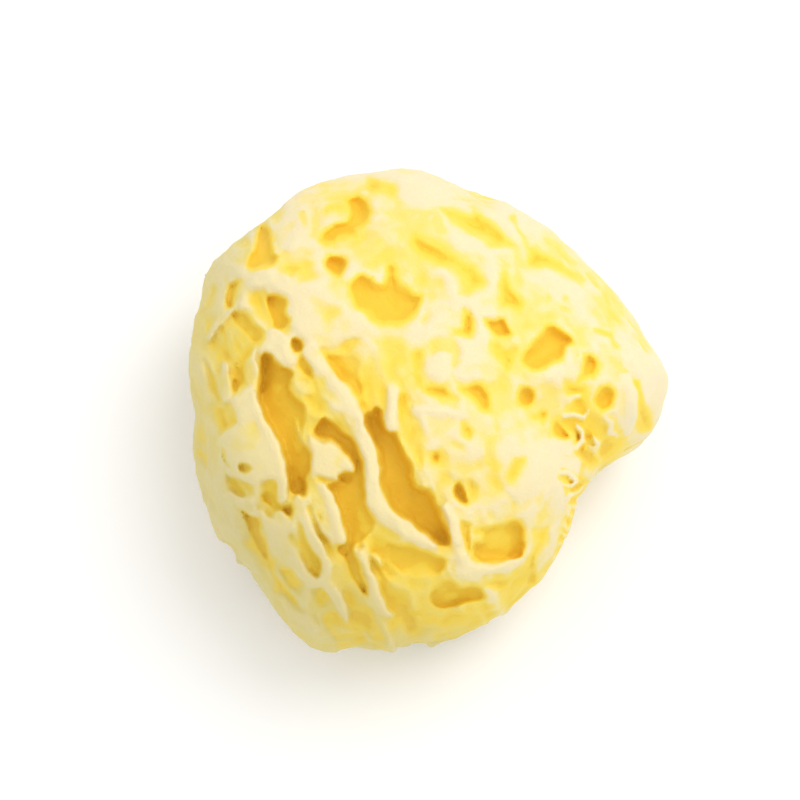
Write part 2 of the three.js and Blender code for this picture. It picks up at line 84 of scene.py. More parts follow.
# Low waves all over the outer form: lift, then the size and the shift of each along X, Y and Z.
WAVES = [
    (1.1, (11, 12, 10), (1.3, 0.4, 0.9)),
    (0.6, (6.1, 5.7, 6.3), (2.1, 1.2, 0)),
]

# Pale high ground: level, width of edge, outline.
PLATEAUS = [
    [0.2, 2.5, [-54, 39], [-46, 40.5], [-38, 39], [-31, 42], [-25, 38], [-21, 31], [-13, 26], [-5, 25],
      [1, 29], [8, 33], [10, 28], [8, 23], [0, 21], [-10, 24], [-20, 22], [-30, 17], [-38, 22], [-40, 28],
      [-47, 37], [-52, 35]],
    [0, 2, [1, 17], [5, 19.5], [9, 18], [10, 14], [8, 10.5], [3, 10.5], [1, 13]],
    [0.1, 2, [9, 24], [18, 24], [21, 19], [24, 14], [23, 8], [22, 11], [12, 10.5], [9.5, 13], [11, 19]],
    [0.1, 2, [9, 35], [12, 37], [20, 38], [21.5, 34], [21, 31], [16, 32], [9, 33]],
    [0.2, 2.5, [27, 47], [31, 46], [38, 45.5], [44, 42], [48, 38], [44, 31], [36, 31], [30, 33], [29, 40]],
    [0.2, 2, [8, 57], [14, 54], [18, 52], [18, 48], [14, 48], [8, 51], [5, 54]],
    [0, 3, [-22, 68], [-18, 71], [-8, 73], [6, 71], [16, 67], [12, 63.5], [0, 62], [-7, 64], [-9, 67]],
    [0.2, 2.5, [-46, 56], [-40, 62], [-34, 64], [-33, 60], [-33, 52], [-30, 49], [-38, 47.5], [-44, 49]],
    [0.5, 2, [-24, 49], [-19, 52], [-12, 57], [-8, 57], [-9, 52], [-14, 49], [-20, 48]],
    [0.2, 2, [56, 31], [62, 27], [68, 16], [72, 9], [69, 12], [63, 14], [60, 20]],
    [0.2, 2.5, [22, 0], [28, 3], [33, 1], [38, -4], [44, -8], [42, -14], [36, -22], [30, -26], [26, -22],
      [25, -10], [23, -4]],
    [0.2, 2, [-3, 4], [3, 4], [11, 3], [17, 1], [12, -1], [5, 0], [-2, 1]],
    [0.3, 2, [8, -7], [12, -9], [17, -8], [19, -14], [22, -18], [28, -24], [20, -28], [16, -27], [10, -17]],
    [0.4, 2, [33, -27], [40, -24], [43, -30], [42, -38], [38, -44], [39, -34], [35, -30]],
    [0.6, 3, [-38, -55], [-30, -60], [-20, -68], [-28, -70], [-38, -62]],
]

# The hollows and the lumps between them, each an outline as the camera sees it. A hollow is dug to its
# depth, and a lump is filled up to its depth again, over the given width of edge inside the outline. Each
# point of the outline is across, up and, where the floor isn't level, the depth there.
HOLLOWS = [
    # the top
    [4, 1.8, [-18.5, 70.5], [-9.5, 70], [-8.8, 68], [-9.5, 65.8], [-11.5, 66], [-13.5, 66.5], [-16, 66],
      [-17.8, 65.7], [-18.3, 68]],
    [8, 1.6, [-25.5, 64], [-21.5, 66.5], [-18.5, 64.5], [-16.3, 61], [-16.5, 57.5], [-18.5, 55.5],
      [-20.5, 54.8], [-20.5, 52.8], [-23, 52], [-26, 52], [-27.5, 50.8], [-30, 50.3], [-31.8, 51.5],
      [-32, 53.5], [-31, 54.8], [-29.5, 55.5], [-28, 57], [-26, 57.6], [-24.5, 58.3], [-24, 60],
      [-24.5, 62]],
    [3.5, 1.2, [-30, 62.5], [-27, 63], [-24, 62.8], [-24, 60.5], [-26.5, 60], [-29.5, 60.2], [-30.8, 59],
      [-31, 61]],
    [2.2, 1.2, [-39, 60], [-37, 60.5], [-36, 58], [-35.7, 55.5], [-37, 55], [-38.5, 57.5]],
    [1.6, 1, [-34, 58], [-32.5, 57.5], [-32, 54.5], [-33.5, 54]],
    [3, 1.5, [-55.5, 51.5], [-53, 51.5], [-51.5, 49.5], [-51.5, 45], [-53, 43], [-54.5, 45], [-55, 48]],
    [3, 2, [-45, 46.5], [-40, 46], [-35, 45.5], [-33, 44], [-35, 42], [-38, 40], [-41, 40], [-45, 41.5]],
    [8, 1.2, [-50, 55.5], [-48, 56], [-46, 54.5], [-45.7, 50], [-45.5, 47.5], [-43.5, 46.5], [-44, 44.5],
      [-45, 43], [-48, 42], [-52, 41.5], [-53.5, 42.5], [-53, 46], [-51.5, 50], [-51, 53.5]],
    [8, 1, [-29, 47.5], [-26, 47.8], [-24, 47], [-23.5, 45], [-24.3, 43], [-25, 40.5], [-26, 40.5],
      [-28, 42], [-30, 43.5], [-30.3, 45.5]],
    [1.5, 0.8, [-37.5, 49.8], [-35.8, 49.8], [-35.5, 48.6], [-37, 48.4]],
    [2.5, 2, [-18.5, 48], [-14, 49], [-9, 47], [-7, 44], [-9, 42], [-13, 43.5], [-17, 43.5], [-19, 45]],
    [9, 1.8, [-23, 40], [-21, 42], [-19, 42.8], [-16, 41.5], [-14.5, 41.3], [-13.5, 39.5], [-12, 39],
      [-11.5, 41], [-12, 44.5], [-11, 46], [-9, 45.5], [-8, 43], [-8, 41], [-6.5, 39], [-3, 37], [-0.5, 36],
      [0, 34], [-1, 31], [-3, 29], [-4.5, 27.5], [-7, 26], [-11, 26], [-14, 27], [-17, 28.8], [-20, 31],
      [-22.5, 34.5], [-24, 37.5]],
    [11, 1.5, [-13.5, 39], [-10, 38.7], [-7, 38], [-5, 35], [-4.8, 32.5], [-6, 30], [-7.5, 28.2],
      [-9.5, 28.8], [-12, 31], [-13.5, 34.5]],
    [13, 1.5, [-11, 31], [-8, 32], [-5.8, 31], [-6.5, 29], [-8.5, 28.2], [-10.5, 29.3]],
    [5, 2.2, [-6, 55], [-3, 56], [0, 54.5], [4, 52], [8, 49.5], [12, 47], [15, 45.5], [17, 43],
      [18.5, 40.5], [17, 38.5], [13.5, 36.7], [11.5, 37.5], [11.5, 39.5], [10.5, 42], [8, 44], [4, 45],
      [0, 46], [-3, 47.5], [-5.5, 50], [-6.5, 52.5]],
    [1.8, 1.2, [-8, 44], [-4, 44.2], [0, 43.5], [1.5, 42.5], [0.5, 41], [-3, 41], [-7, 42.5]],
    [1.5, 1.8, [-17, 55.5], [-14, 55], [-13, 52], [-15, 49.5], [-17.5, 50.5], [-18, 53]],
    [5, 1.8, [5.5, 62], [9, 61.5], [13, 61.5], [14, 63], [16.5, 62.5], [18, 60.5], [21, 58.5], [24, 56],
      [25, 53.5], [26, 52.5], [22, 51], [19, 51], [18, 52.5], [14.5, 54.5], [11, 56.5], [8, 57.5],
      [6.3, 59.5]],
    [2, 1.5, [2.5, 61.5], [5, 60], [6, 57], [5.5, 54.5], [3, 54], [1.5, 57], [1.5, 59.5]],
    [2, 1.4, [24, 61.5], [26, 62], [29, 57], [31, 52.5], [31, 49.5], [29.5, 51], [28, 54], [26, 57.5],
      [24.5, 59.5]],
    [4.5, 1.3, [30.5, 51.5], [33, 51.5], [37, 49.5], [41, 47], [45, 44.5], [48, 42], [47, 41], [44, 42.5],
      [40, 44.5], [36, 46.3], [33, 46.2], [31, 46.5], [30.8, 49]],
    [2, 1.5, [22, 47.5], [26, 46.5], [26, 43.5], [23.5, 43.5], [21.5, 45]],
    [4.2, 1.2, [22, 43], [23.5, 44.5], [25, 42], [26, 40], [28, 37.5], [29.5, 34.5], [29, 32.5], [26, 33.5],
      [23.5, 34], [22.5, 37], [22, 40]],
    [1.5, 0.8, [36.5, 37.8], [38.5, 37.8], [38.8, 35.8], [36.6, 35.5]],
    [1.5, 0.8, [41.5, 38], [44, 37.8], [43.8, 35.5], [41.8, 35.8]],
    [1.2, 0.7, [41.8, 34.3], [45, 33.8], [45.3, 32.5], [42, 32.5]],
    [2.5, 0.9, [51, 28.8], [55, 27.8], [57, 27.8], [58, 25], [59.5, 23], [58.5, 22.3], [57, 23.8],
      [56, 25.5], [54, 26.5], [51.5, 27.5]],
    [2, 0.8, [53, 38.5], [54.5, 38.5], [55.8, 36], [55.8, 34.7], [54.6, 35]],
    [1.5, 0.6, [56.5, 20.5], [58.5, 20], [59, 18.8], [57, 18.6]],
    [1.8, 0.6, [60.3, 16.5], [62.3, 16.3], [62.8, 15.5], [60.5, 15.3]],

    # the middle and the right
    [6, 1.2, [12, 32.5], [14, 31.5], [15.5, 29.5], [15.5, 26], [14.5, 24.5], [11, 24.3], [8.5, 24.3],
      [9.5, 25.5], [11.5, 27], [12, 29.5]],
    [2.5, 1.5, [20, 25], [26, 24], [30, 22], [30, 19.5], [28, 17.5], [26.5, 14], [25.5, 13.2], [24.5, 15.5],
      [22.5, 17.5], [20.5, 20], [19.5, 23]],
    [4, 1, [22.5, 20], [25, 19], [28, 18], [26.5, 15.5], [25.5, 14], [24.8, 16.5]],
    [6.5, 1, [18.5, 30], [20, 29.7], [22, 29.5], [23, 30.5], [25.5, 30.5], [26.5, 28], [27.5, 25.5],
      [26, 24], [22, 24.5], [20.5, 26], [19, 28]],
    [10, 1.4, [37, 29], [40, 29], [42.5, 27.5], [45, 25.5], [46, 23.7], [44.5, 22.8], [43.3, 22.2],
      [43, 20.5], [42.5, 18.5], [40, 17.5], [37.5, 16], [35, 14.8], [33, 14.5], [31.3, 15.5], [30, 17.5],
      [30.5, 20], [32.5, 22], [33.5, 24.5], [35, 26.5]],
    [11, 1.3, [31, 15.7], [33.5, 15], [36.5, 16.5], [37.5, 18.5], [35, 20.5], [32.5, 21], [30.8, 18.5]],
    [6, 1.2, [48.5, 20.5], [51, 20.8], [53, 19.5], [54, 17.5], [53, 15], [51.5, 12.8], [50, 13], [47, 12],
      [45.5, 11], [47.5, 14.5], [48, 17]],
    [6, 1.1, [63.5, 13], [66, 13.5], [67, 10], [68, 6], [69.5, 2], [70, -1], [69.5, -2.3], [66, -2.5],
      [65.3, 0], [65.3, 5], [65.2, 9]],
    [4, 1.4, [-3.5, 18.5], [-2, 20.5], [1, 20.5], [1.5, 19], [0.3, 16], [0.3, 13], [1, 10.5], [4, 9.7],
      [8, 9.8], [8.8, 8.3], [9.7, 6.8], [11.5, 5.5], [10.5, 4.2], [6, 4], [3.5, 5], [1, 7], [-1, 9.5],
      [-2, 12.5], [-2.7, 15.5]],
    [1.5, 0.8, [1.8, 21.5], [4, 22], [6, 20.3], [5.3, 19.6], [2.5, 20]],
    [1.5, 0.7, [10.5, 17.8], [12, 18.3], [12.4, 16.8], [11, 14.7], [10, 15.2]],
    [1.8, 0.8, [-12.5, 19.5], [-9, 19], [-7.5, 17.5], [-8, 15], [-9.5, 15.3], [-11.3, 17]],
    [5.5, 1.3, [12, 8.7], [13.5, 9.7], [16, 10.6], [18.5, 10.3], [20.5, 9], [21.7, 6.5], [22, 4], [21.5, 2],
      [20, 1.2], [18.5, 2], [17.3, 4.2], [15.5, 6], [13.5, 7.3]],
    [6, 1.3, [29, 8.5], [30, 10.5], [33, 10.8], [34.5, 9], [35, 7], [34.3, 4.5], [32.5, 3], [30.3, 3.7],
      [28.8, 5]],
    [4, 1.2, [13, -2], [14.5, -1.5], [16, -2.5], [16.7, -4.5], [16, -6.8], [15, -7.5], [13.8, -6.5],
      [13.2, -4.5]],
    [3, 2, [19.5, -8], [21.5, -5], [23.5, -6], [24.5, -9], [25, -13], [25, -17], [23, -16.5], [21, -13.5],
      [19.3, -11]],
    [2.5, 2, [27, -14], [29, -11], [32, -10.5], [32.5, -13], [31, -17], [29.5, -20.5], [27, -20],
      [26, -18]],
    [3.5, 1.3, [2.8, -11], [4.5, -10], [6.3, -10.3], [7.2, -12.5], [6.6, -14.5], [4.8, -15.2], [3.2, -14.2],
      [2.6, -12.5]],
    [1.2, 0.5, [2.5, -5], [3.8, -5], [4, -5.9], [3, -6.3]],
    [1.2, 1.2, [6, -1], [9, -1], [10, -4], [8.5, -6], [6, -5.5], [5, -3.5]],
    [2.5, 1.5, [13.5, -18], [17, -17.5], [19.5, -20.5], [18, -25], [16, -26.5], [14, -22]],
    [9, 1, [11.5, -19.5], [13, -18.7], [14, -20], [15, -22.5], [16, -25], [15.2, -26], [13, -25.3],
      [11.5, -23.3], [10.8, -21.2]],
    [4.2, 1.8, [43.5, 12], [51, 12], [52, 10], [51.5, 6], [53, 4], [55, 2.5], [58, 2], [60, -1], [61, -4],
      [62, -6], [61, -9.5], [59.5, -11], [58, -13], [52, -13], [49, -13], [47, -10], [45.5, -6.5],
      [43, -5.5], [40, -4.5], [39, -1], [40, 1], [42.5, 3], [44, 6]],
    [9, 1.3, [52, 8.5], [53, 11], [56, 12], [58.5, 11], [59.2, 8.5], [58.5, 5.5], [57, 3.5], [54.8, 2.5],
      [52.8, 4], [51.5, 6.5]],
    [4, 0.8, [34, 0.5], [35.5, 1.2], [36, 2.5], [38.5, 2.5], [38.5, 0], [37.2, -1.8], [36, -0.5],
      [34.5, -0.3]],
    [7, 0.9, [40, 0], [41.5, -0.5], [44, -2], [45.5, -4], [45.5, -5.3], [42.5, -5.5], [40.5, -4.5],
      [39.5, -2.5]],
    [9, 1.2, [46.5, -3], [49, -1], [52, -2.5], [54, -4.5], [51.5, -6], [50.5, -8], [52.5, -11], [51, -13.5],
      [48.5, -12], [46.5, -9.5], [46, -6]],
    [7, 0.8, [54, -6], [56, -4.7], [59, -5.5], [59.5, -7], [57, -9], [54.5, -10], [53.8, -8]],
    [2.5, 0.6, [45.8, 23.2], [47.2, 21.5], [47, 18.5], [46, 17.8], [46.2, 20.5]],
    [3.5, 0.7, [42, -16], [44.5, -15.2], [46.5, -16.5], [46, -18.3], [43, -18.3], [42, -17.5]],
    [3.5, 0.8, [44, -20.5], [47, -20], [49, -22.5], [49, -25], [46, -24], [44.5, -22.3]],
    [8, 1.8, [43, -13.5], [47, -14], [51, -17.5], [50.5, -22], [48, -28], [47, -35], [43.5, -41], [41, -40],
      [42.5, -34], [44.5, -27], [44, -20]],
    [2.5, 0.5, [42.5, -9.8], [45, -10], [47.5, -11], [47, -11.8], [44.5, -10.8], [42.7, -10.6]],

    # the long valley right of the great rib, with its slope
    [3, 2.5, [-4.5, 0], [-2, 0.5], [0, -1], [1.5, -4], [1.5, -8], [2.5, -10], [2, -15], [1, -18], [-1, -19],
      [-2.5, -14], [-4, -10], [-5.5, -6]],
    [16, 1.6, [-14, 1.5], [-12.5, 2.3], [-11, 1.2], [-11, -1], [-10.2, -3.5], [-8.5, -4.3], [-6.5, -3.8],
      [-6, -5.5], [-5, -9], [-3.5, -12], [-2, -15], [-1.5, -18], [-0.5, -20.5], [3, -21], [5.5, -23],
      [7.5, -27], [9.5, -31], [11, -35], [10.5, -38.5], [8, -38.5], [6.5, -37.5], [3, -35], [-1, -32.5],
      [-5, -30.5], [-8, -28.5], [-10, -25], [-11, -20], [-11.5, -16], [-13, -11], [-14.5, -8], [-16.5, -4],
      [-17.3, -1.5], [-16, 0.5], [-14.5, 0.5]],
    [3.5, 0.8, [-11.7, 8], [-10.6, 8], [-10.2, 6], [-9.9, 3.5], [-9.5, 1], [-10.5, 0.5], [-11, 3],
      [-11.7, 6]],
    [3.5, 1, [-6.3, 7.5], [-4.8, 8], [-3.3, 6.3], [-4, 4], [-4.4, 1], [-4.2, -1.5], [-5.5, -3], [-6.2, 0],
      [-6.4, 4]],

    # the left side
    [3, 2, [-62, 25], [-58, 29], [-53, 25], [-51, 17], [-51.5, 11], [-55, 9], [-61, 12], [-63, 18]],
    [4.5, 1.5, [-56, 31], [-52, 29.5], [-50.5, 27], [-49.5, 26], [-46.5, 24], [-46.5, 21.5], [-48, 19.5],
      [-51, 19.5], [-54, 22], [-57, 25], [-58.5, 29]],
    [5, 1.2, [-54.5, 38], [-53.5, 39.5], [-56, 39.5], [-59, 38], [-60, 34], [-59, 30], [-56, 29.5],
      [-55.8, 33]],
    [3.5, 1.4, [-63, 38], [-61.5, 36], [-62.5, 31], [-65, 26], [-68, 22], [-68.5, 25], [-66.5, 31],
      [-64.5, 37]],
    [6, 1.2, [-47.8, 33], [-47, 35], [-44, 35.3], [-41.5, 34.8], [-40.5, 33], [-41, 30], [-39.3, 27],
      [-40, 24.5], [-42.5, 23.3], [-45, 24.8], [-46.5, 28], [-47.5, 31]],
    [6, 0.8, [-39.5, 21.5], [-38, 22], [-36, 21], [-35, 19], [-36, 17.5], [-38.5, 17.5], [-39.5, 19]],
    [4, 1.5, [-36.5, 17.5], [-34, 18.5], [-32, 15.5], [-29.5, 13], [-28, 10.5], [-28.5, 8.5], [-31, 7.5],
      [-33, 9], [-36, 10.5], [-37.5, 12.5]],
    [2.5, 2, [-33, 7], [-30, 6.5], [-27, 2], [-26, -1], [-29, -2], [-33, -3], [-34.5, 0]],
    [6, 1.8, [-30, 19, 4], [-26, 20, 3], [-22, 19.5, 2.5], [-19.5, 18, 2], [-17.5, 15, 2.5], [-16.5, 10, 3],
      [-15.5, 5, 4], [-15.2, 2, 4], [-16.5, 1, 5], [-18.5, 4, 6], [-21, 7, 6.5], [-24.5, 9, 7],
      [-26.5, 10.5, 7], [-29, 14, 6], [-30, 17, 5]],
    [1.2, 2.5, [-34, 35], [-30, 34], [-24, 31], [-24, 28], [-29, 27], [-34, 30]],
    [1.8, 3, [-14, 24], [-6, 23.5], [-3, 20], [-4, 14], [-5, 9], [-9, 9], [-13, 12], [-15, 18]],
    [12, 1.4, [-47, 18.5, 6], [-44.5, 17.5, 6], [-43.7, 15.5, 8], [-41.5, 13.5, 9], [-39.8, 12.8],
      [-38.2, 11.5], [-39, 9], [-39.3, 7], [-38, 4.5], [-36, 2.6], [-34.5, 1.5, 7], [-33.5, -2, 6],
      [-34, -6, 7], [-33.5, -10, 8], [-31.5, -14, 10], [-31.5, -18], [-32.5, -21], [-33, -25], [-35, -26],
      [-38.5, -24], [-39, -22], [-39.5, -18], [-40, -14.5], [-41, -12], [-42.5, -9], [-44, -7],
      [-46.5, -4.5], [-47, -2], [-48, 0], [-49, 2], [-49, 5], [-48.5, 12], [-48, 16]],
    [11, 0.8, [-41.8, 11.8], [-40.3, 13], [-38.2, 11.8], [-38.3, 10.8], [-39.3, 9], [-39.4, 7], [-40.5, 8],
      [-41.7, 10]],
    [14, 0.9, [-36, -19], [-34, -19.5], [-32.8, -21.5], [-33, -24.5], [-35.5, -25], [-36.3, -22]],
    [15, 0.9, [-46, -5], [-43.5, -5.2], [-42, -8], [-40.2, -11.5], [-39.6, -15], [-41, -13.5], [-42.5, -10],
      [-44.5, -7]],
    [4, 0.8, [-56, 9.5], [-53.5, 9], [-53, 7.5], [-55, 5], [-56.5, 3.5], [-56.5, 6.5]],
    [3.5, 1.2, [-61, 1], [-58, 1.5], [-56.3, -0.5], [-56.3, -3], [-58.5, -5.5], [-61, -6.5], [-61.5, -3]],

    # the lower left
    [4.5, 1.5, [-45.5, -23], [-43.5, -23.5], [-41.5, -26.5], [-39.5, -28], [-37, -27.5], [-36, -30],
      [-37, -32.5], [-40, -31.5], [-44, -30], [-47, -28], [-47.5, -25]],
    [7, 1.6, [-54.5, -28, 4], [-51, -30.5], [-48, -32], [-46, -33], [-45.5, -36], [-43.5, -39.5],
      [-42.8, -43], [-44.5, -45], [-47, -43, 6], [-50, -38, 6], [-53, -33, 3], [-54.5, -30, 3]],
    [3.2, 1.4, [-34.5, -37], [-32.5, -36.2], [-31, -38], [-30.5, -40.5], [-29, -44], [-28, -47],
      [-28.5, -50], [-31, -48.5], [-33.5, -45], [-35, -42], [-35.5, -39]],
    [12, 1.5, [-30, -3], [-28.7, -1.2], [-26, -3], [-23, -5], [-20, -6.5], [-18.3, -9], [-17.5, -12],
      [-16.5, -14], [-15.7, -18], [-14.8, -23], [-14.5, -27, 8], [-13, -30, 6], [-11.5, -33, 5],
      [-12, -36, 5], [-17, -39.5, 7], [-18, -41, 7], [-16.5, -44, 6], [-15, -48, 5], [-13.5, -51, 5],
      [-13, -54, 4], [-13.5, -56, 4], [-16, -54, 5], [-18, -51, 5], [-20, -48, 6], [-21.5, -45, 6],
      [-23, -42, 7], [-24, -39.5, 8], [-21, -38.5], [-21.5, -35], [-23, -32], [-24, -28.5], [-25.5, -26.5],
      [-26.5, -24.5], [-28.5, -23], [-27, -21.5], [-23.5, -20], [-23.5, -18.5], [-22, -17], [-19, -17.3],
      [-19.3, -15], [-21, -12.5], [-23.5, -10], [-26, -8.3], [-28.5, -8.5], [-30.3, -8], [-31, -6]],
    [9, 0.8, [-24, -39.5], [-21, -39], [-19.5, -39.8], [-19.5, -44], [-21, -44], [-23, -42]],
    [12, 0.9, [-30, -3], [-28.7, -1.5], [-26.5, -3.5], [-26, -7], [-28.5, -8], [-30.3, -7.5], [-31, -6]],
    [14, 0.9, [-23.7, -18.5], [-22, -17.4], [-19, -17.6], [-18.5, -20], [-20.5, -21.5], [-23.5, -20.5]],
    [2.5, 1, [-30.5, -52.6], [-27, -52.5], [-24.5, -54], [-22, -57.5], [-21.5, -60], [-24, -58], [-26, -56],
      [-29, -54]],
    [4, 1.6, [-16, -61.5], [-12.5, -60.5], [-11.5, -63], [-12.5, -66], [-15, -65.5], [-17, -64]],
    [4.5, 2, [-3, -56], [3, -55.5], [8, -57.5], [9, -60], [7, -62.5], [2, -62], [-3, -60]],
    [7, 2, [-9.5, -37.5], [-5, -37], [0, -38], [5, -39.5], [9, -40.5], [10.5, -42], [10, -45], [8, -48, 4],
      [3, -49.5, 4], [-3, -48, 4], [-8, -45], [-10, -42]],

    # the lower right
    [8, 1.8, [6, -50], [9, -48], [12, -48], [15, -49.8], [18, -49.3], [21, -49.8], [23, -52.5], [22, -55],
      [18.5, -57], [14, -58.3], [9, -59], [6, -58], [4.3, -55.5], [4.5, -52.5]],
    [3.5, 1, [13, -30], [17, -31], [17, -34], [17, -41], [15, -40], [14, -37], [12.5, -33]],
    [7, 1.6, [17, -33], [20, -32], [23, -31], [25.5, -30.5], [28, -29.3], [31, -29.3], [33, -31.5],
      [33.5, -34.5], [34, -37.5], [33, -41], [30, -43.3], [26, -44], [20, -44], [17.3, -42.5], [16.3, -39],
      [17.5, -37], [20, -36.3], [20, -35], [17.5, -34.8]],
    [6, 1.8, [38.5, -31.5, 3], [39, -35, 3], [37, -38.5, 4], [36.3, -43], [37, -46], [37, -49.5], [33, -50],
      [30.5, -50.5], [28.5, -51.5], [27.5, -53.5], [26, -52], [24, -50.5], [21, -50.3], [19.5, -49.5],
      [23, -48], [27, -46.5], [30, -45], [32.5, -42.5], [34, -39, 4], [34.8, -35, 3], [34.5, -32, 3]],
]
LUMPS = [
    [0.5, 1.2, [-31, 58.5], [-29.5, 60], [-27, 59.8], [-26, 58.5], [-28.5, 57.5], [-31, 55.5], [-32, 57]],
    [1, 1, [22.8, 23], [25, 23.8], [27, 22.5], [26, 20.7], [23.8, 20.6]],
    [1, 0.7, [43.4, 22.3], [45.2, 22.3], [46, 20], [45.5, 16.5], [44, 16.5], [43.6, 19]],
    [0.5, 1.2, [-41, 15.5], [-38.5, 16.8], [-36.5, 16], [-36.8, 14], [-39, 13]],
    [1.5, 1.5, [-38.5, 8.5], [-35.5, 9.5], [-32.5, 8.5], [-31, 6], [-33, 4.5], [-36, 4.2], [-38.3, 6.5]],
    [2.5, 0.8, [-37.5, -2], [-36.5, -3], [-34, -8], [-32.5, -12.5], [-31.8, -17], [-33.2, -13],
      [-35.5, -8]],
    [1, 1, [50.5, -6.8], [53, -7], [54, -8.5], [53.3, -11], [52, -10], [51, -8.5]],
    [1.5, 1.2, [10.3, -44], [13, -41.5], [15.5, -41], [16, -43], [17.5, -46], [19, -49], [16, -48.7],
      [13, -47.5], [11, -46]],
    [0.3, 1.5, [-50, 8], [-49.3, 3], [-46.3, -4.8], [-42.5, -9.5], [-40.5, -14.5], [-39.2, -21],
      [-39.5, -26.5], [-43, -21.5], [-50, -23], [-57, -20], [-62, -10], [-58.5, -6], [-55, -4], [-55.5, 0],
      [-56.5, 3], [-53, 6]],
    [0.3, 1, [-60, 14], [-57.5, 14], [-56.8, 8], [-56.8, 2.5], [-59, 1.5], [-60.5, 6]],
    [0.5, 1, [-28.5, -9], [-26, -8.5], [-23.5, -10], [-21, -12.5], [-19.3, -15], [-19, -17], [-22, -17],
      [-23.5, -18.5], [-24, -20], [-27, -20.5], [-30, -19.5], [-31, -20.5], [-32, -16.5], [-33.2, -10],
      [-33, -5], [-31.5, -6.5]],
    [1.3, 1.5, [-32, -23], [-28.5, -23], [-26, -25.5], [-24, -29], [-22.3, -34], [-21.3, -38.5],
      [-25, -39.5], [-29, -36], [-32, -30]],
    [0.8, 1, [-17.5, -40.3], [-15, -40], [-13, -42.5], [-12.3, -47], [-10.5, -50], [-9, -54], [-7, -58],
      [-5.5, -60], [-6, -61.5], [-8.5, -61], [-11, -59], [-13, -56], [-13.2, -53], [-14, -50], [-15.2, -47],
      [-16.7, -44]],
]

# Thin crests between the hollows: the depth of the crest, then points as across, up, half-width.
CRESTS = [
    [0, [-49.6, 5, 1.2], [-48.5, 1, 1.4], [-46.3, -5, 1.6], [-43, -10.3, 1.6], [-41, -16, 1.5],
      [-39.7, -22, 1.3], [-40, -27, 0.9]],
    [0, [-56.5, -24.8, 0.8], [-53, -26.3, 1.2], [-50, -28.8, 1.2], [-47.8, -32, 0.8]],
    [0, [-29, -22.8, 0.9], [-26.2, -25.3, 1.3], [-24.3, -29, 1.3], [-22.6, -34, 1.2], [-21.5, -38.5, 0.9]],
    [0.8, [-35.5, -26.5, 1], [-34.3, -30, 1.4], [-31.5, -34.5, 1.5], [-28.8, -39, 1.5], [-26.6, -44, 1.6],
      [-26.5, -49, 1.7], [-25.5, -51.5, 1.2]],
    [0.5, [-46, -31.5, 1.2], [-43.2, -35.5, 2], [-40.7, -40.5, 2.4], [-39, -43.5, 2.4], [-36, -46.3, 1.8],
      [-33, -48.8, 1.3]],
    [0.6, [-41, -31.5, 1.4], [-39.3, -35, 2], [-38.3, -39.5, 2], [-37.3, -43.5, 1.7], [-32.5, -48.5, 1.5],
      [-29, -51.3, 1.2]],
    [0.3, [-31.5, -51.3, 1], [-26.5, -51, 1.2], [-23, -54, 1.2], [-20.8, -58, 1.1], [-19.5, -61.5, 0.8]],
    [0, [-33.5, 19, 1.5], [-29.5, 13.5, 2], [-25.5, 7.5, 3], [-22, 2.5, 3.4], [-18.5, -2, 2.3],
      [-17, -7, 1.8], [-14.7, -13, 1.8], [-13.2, -19, 1.8], [-12, -25, 2], [-9, -30.5, 2.1], [-3, -34, 2],
      [3, -37, 1.6], [6.5, -38.5, 0.8]],
    [0, [-8.3, 8, 1.3], [-8.2, 2, 1.5], [-7.7, -3.2, 1.5]],
    [0.2, [9, -27.5, 1], [10.6, -31, 1.2], [12.3, -37, 1.2]],
    [0.3, [14.5, -41, 0.9], [15.7, -45.5, 2.2], [18.5, -46.5, 1.6], [23, -45, 1.1], [27, -44, 1.3],
      [31, -42, 0.7]],
    [0, [62, 14, 1.2], [64, 8, 1.3], [64.2, 2, 1.2], [62.5, -3, 1]],
    [0.3, [43.5, -15, 0.5], [46, -15.3, 0.8], [48, -17.5, 0.7], [46.5, -19.3, 0.6], [44.5, -18.8, 0.5]],
    [0.5, [50, -18.5, 0.6], [48.8, -21, 0.8], [45.8, -21.8, 0.7], [44.3, -24, 0.5]],
    [0.3, [49.5, -22.5, 0.5], [48, -24.8, 0.8], [45.5, -25, 0.7], [45, -27.5, 0.6], [46.8, -28.5, 0.5]],
    [0.5, [44, -29.5, 0.6], [45.8, -31.5, 0.8], [47.2, -30.5, 0.6]],
    [0.3, [43.5, -33, 0.6], [45.5, -34.8, 0.8], [44.5, -37.3, 0.7], [42.3, -37, 0.5]],
    [0.3, [55.5, 1.5, 0.5], [57.8, -0.5, 0.8], [57.5, -3, 0.8], [59.5, -4, 0.6]],
    [0.5, [47, -2, 0.6], [49, -3.5, 0.9], [49, -6, 0.8], [47.2, -8, 0.6]],
    [0.5, [52, -4.5, 0.5], [53.5, -6.8, 0.9], [53, -9.5, 0.8], [54.8, -11.5, 0.5]],
    [0.5, [42, 8, 0.7], [45, 6.5, 1], [48.5, 7.5, 0.8]],
    [0.5, [43, 1.5, 0.6], [46.5, 2, 0.9], [49.5, 0.5, 0.7], [50.5, 3, 0.6]],
    [0.5, [-12.6, -42, 0.6], [-11.3, -43, 0.9], [-10.3, -44.6, 0.6]],
    [0.3, [-58.5, -9, 0.8], [-57.7, -13, 1], [-55.5, -17.5, 0.9]],
    [0.8, [-49.8, 8.5, 0.7], [-50.3, 12, 1.1], [-51, 16, 0.9], [-50, 19, 0.5]],
    [0.8, [-57, 29, 0.5], [-61, 25.5, 1.1], [-64.5, 20.5, 0.9]],
    [0.3, [-46, 23.5, 1], [-43, 20.5, 1.6], [-41.5, 16.5, 1.8]],
    [0.5, [-63, 44, 0.8], [-60, 42, 1.4], [-55, 42.5, 1.5]],
]

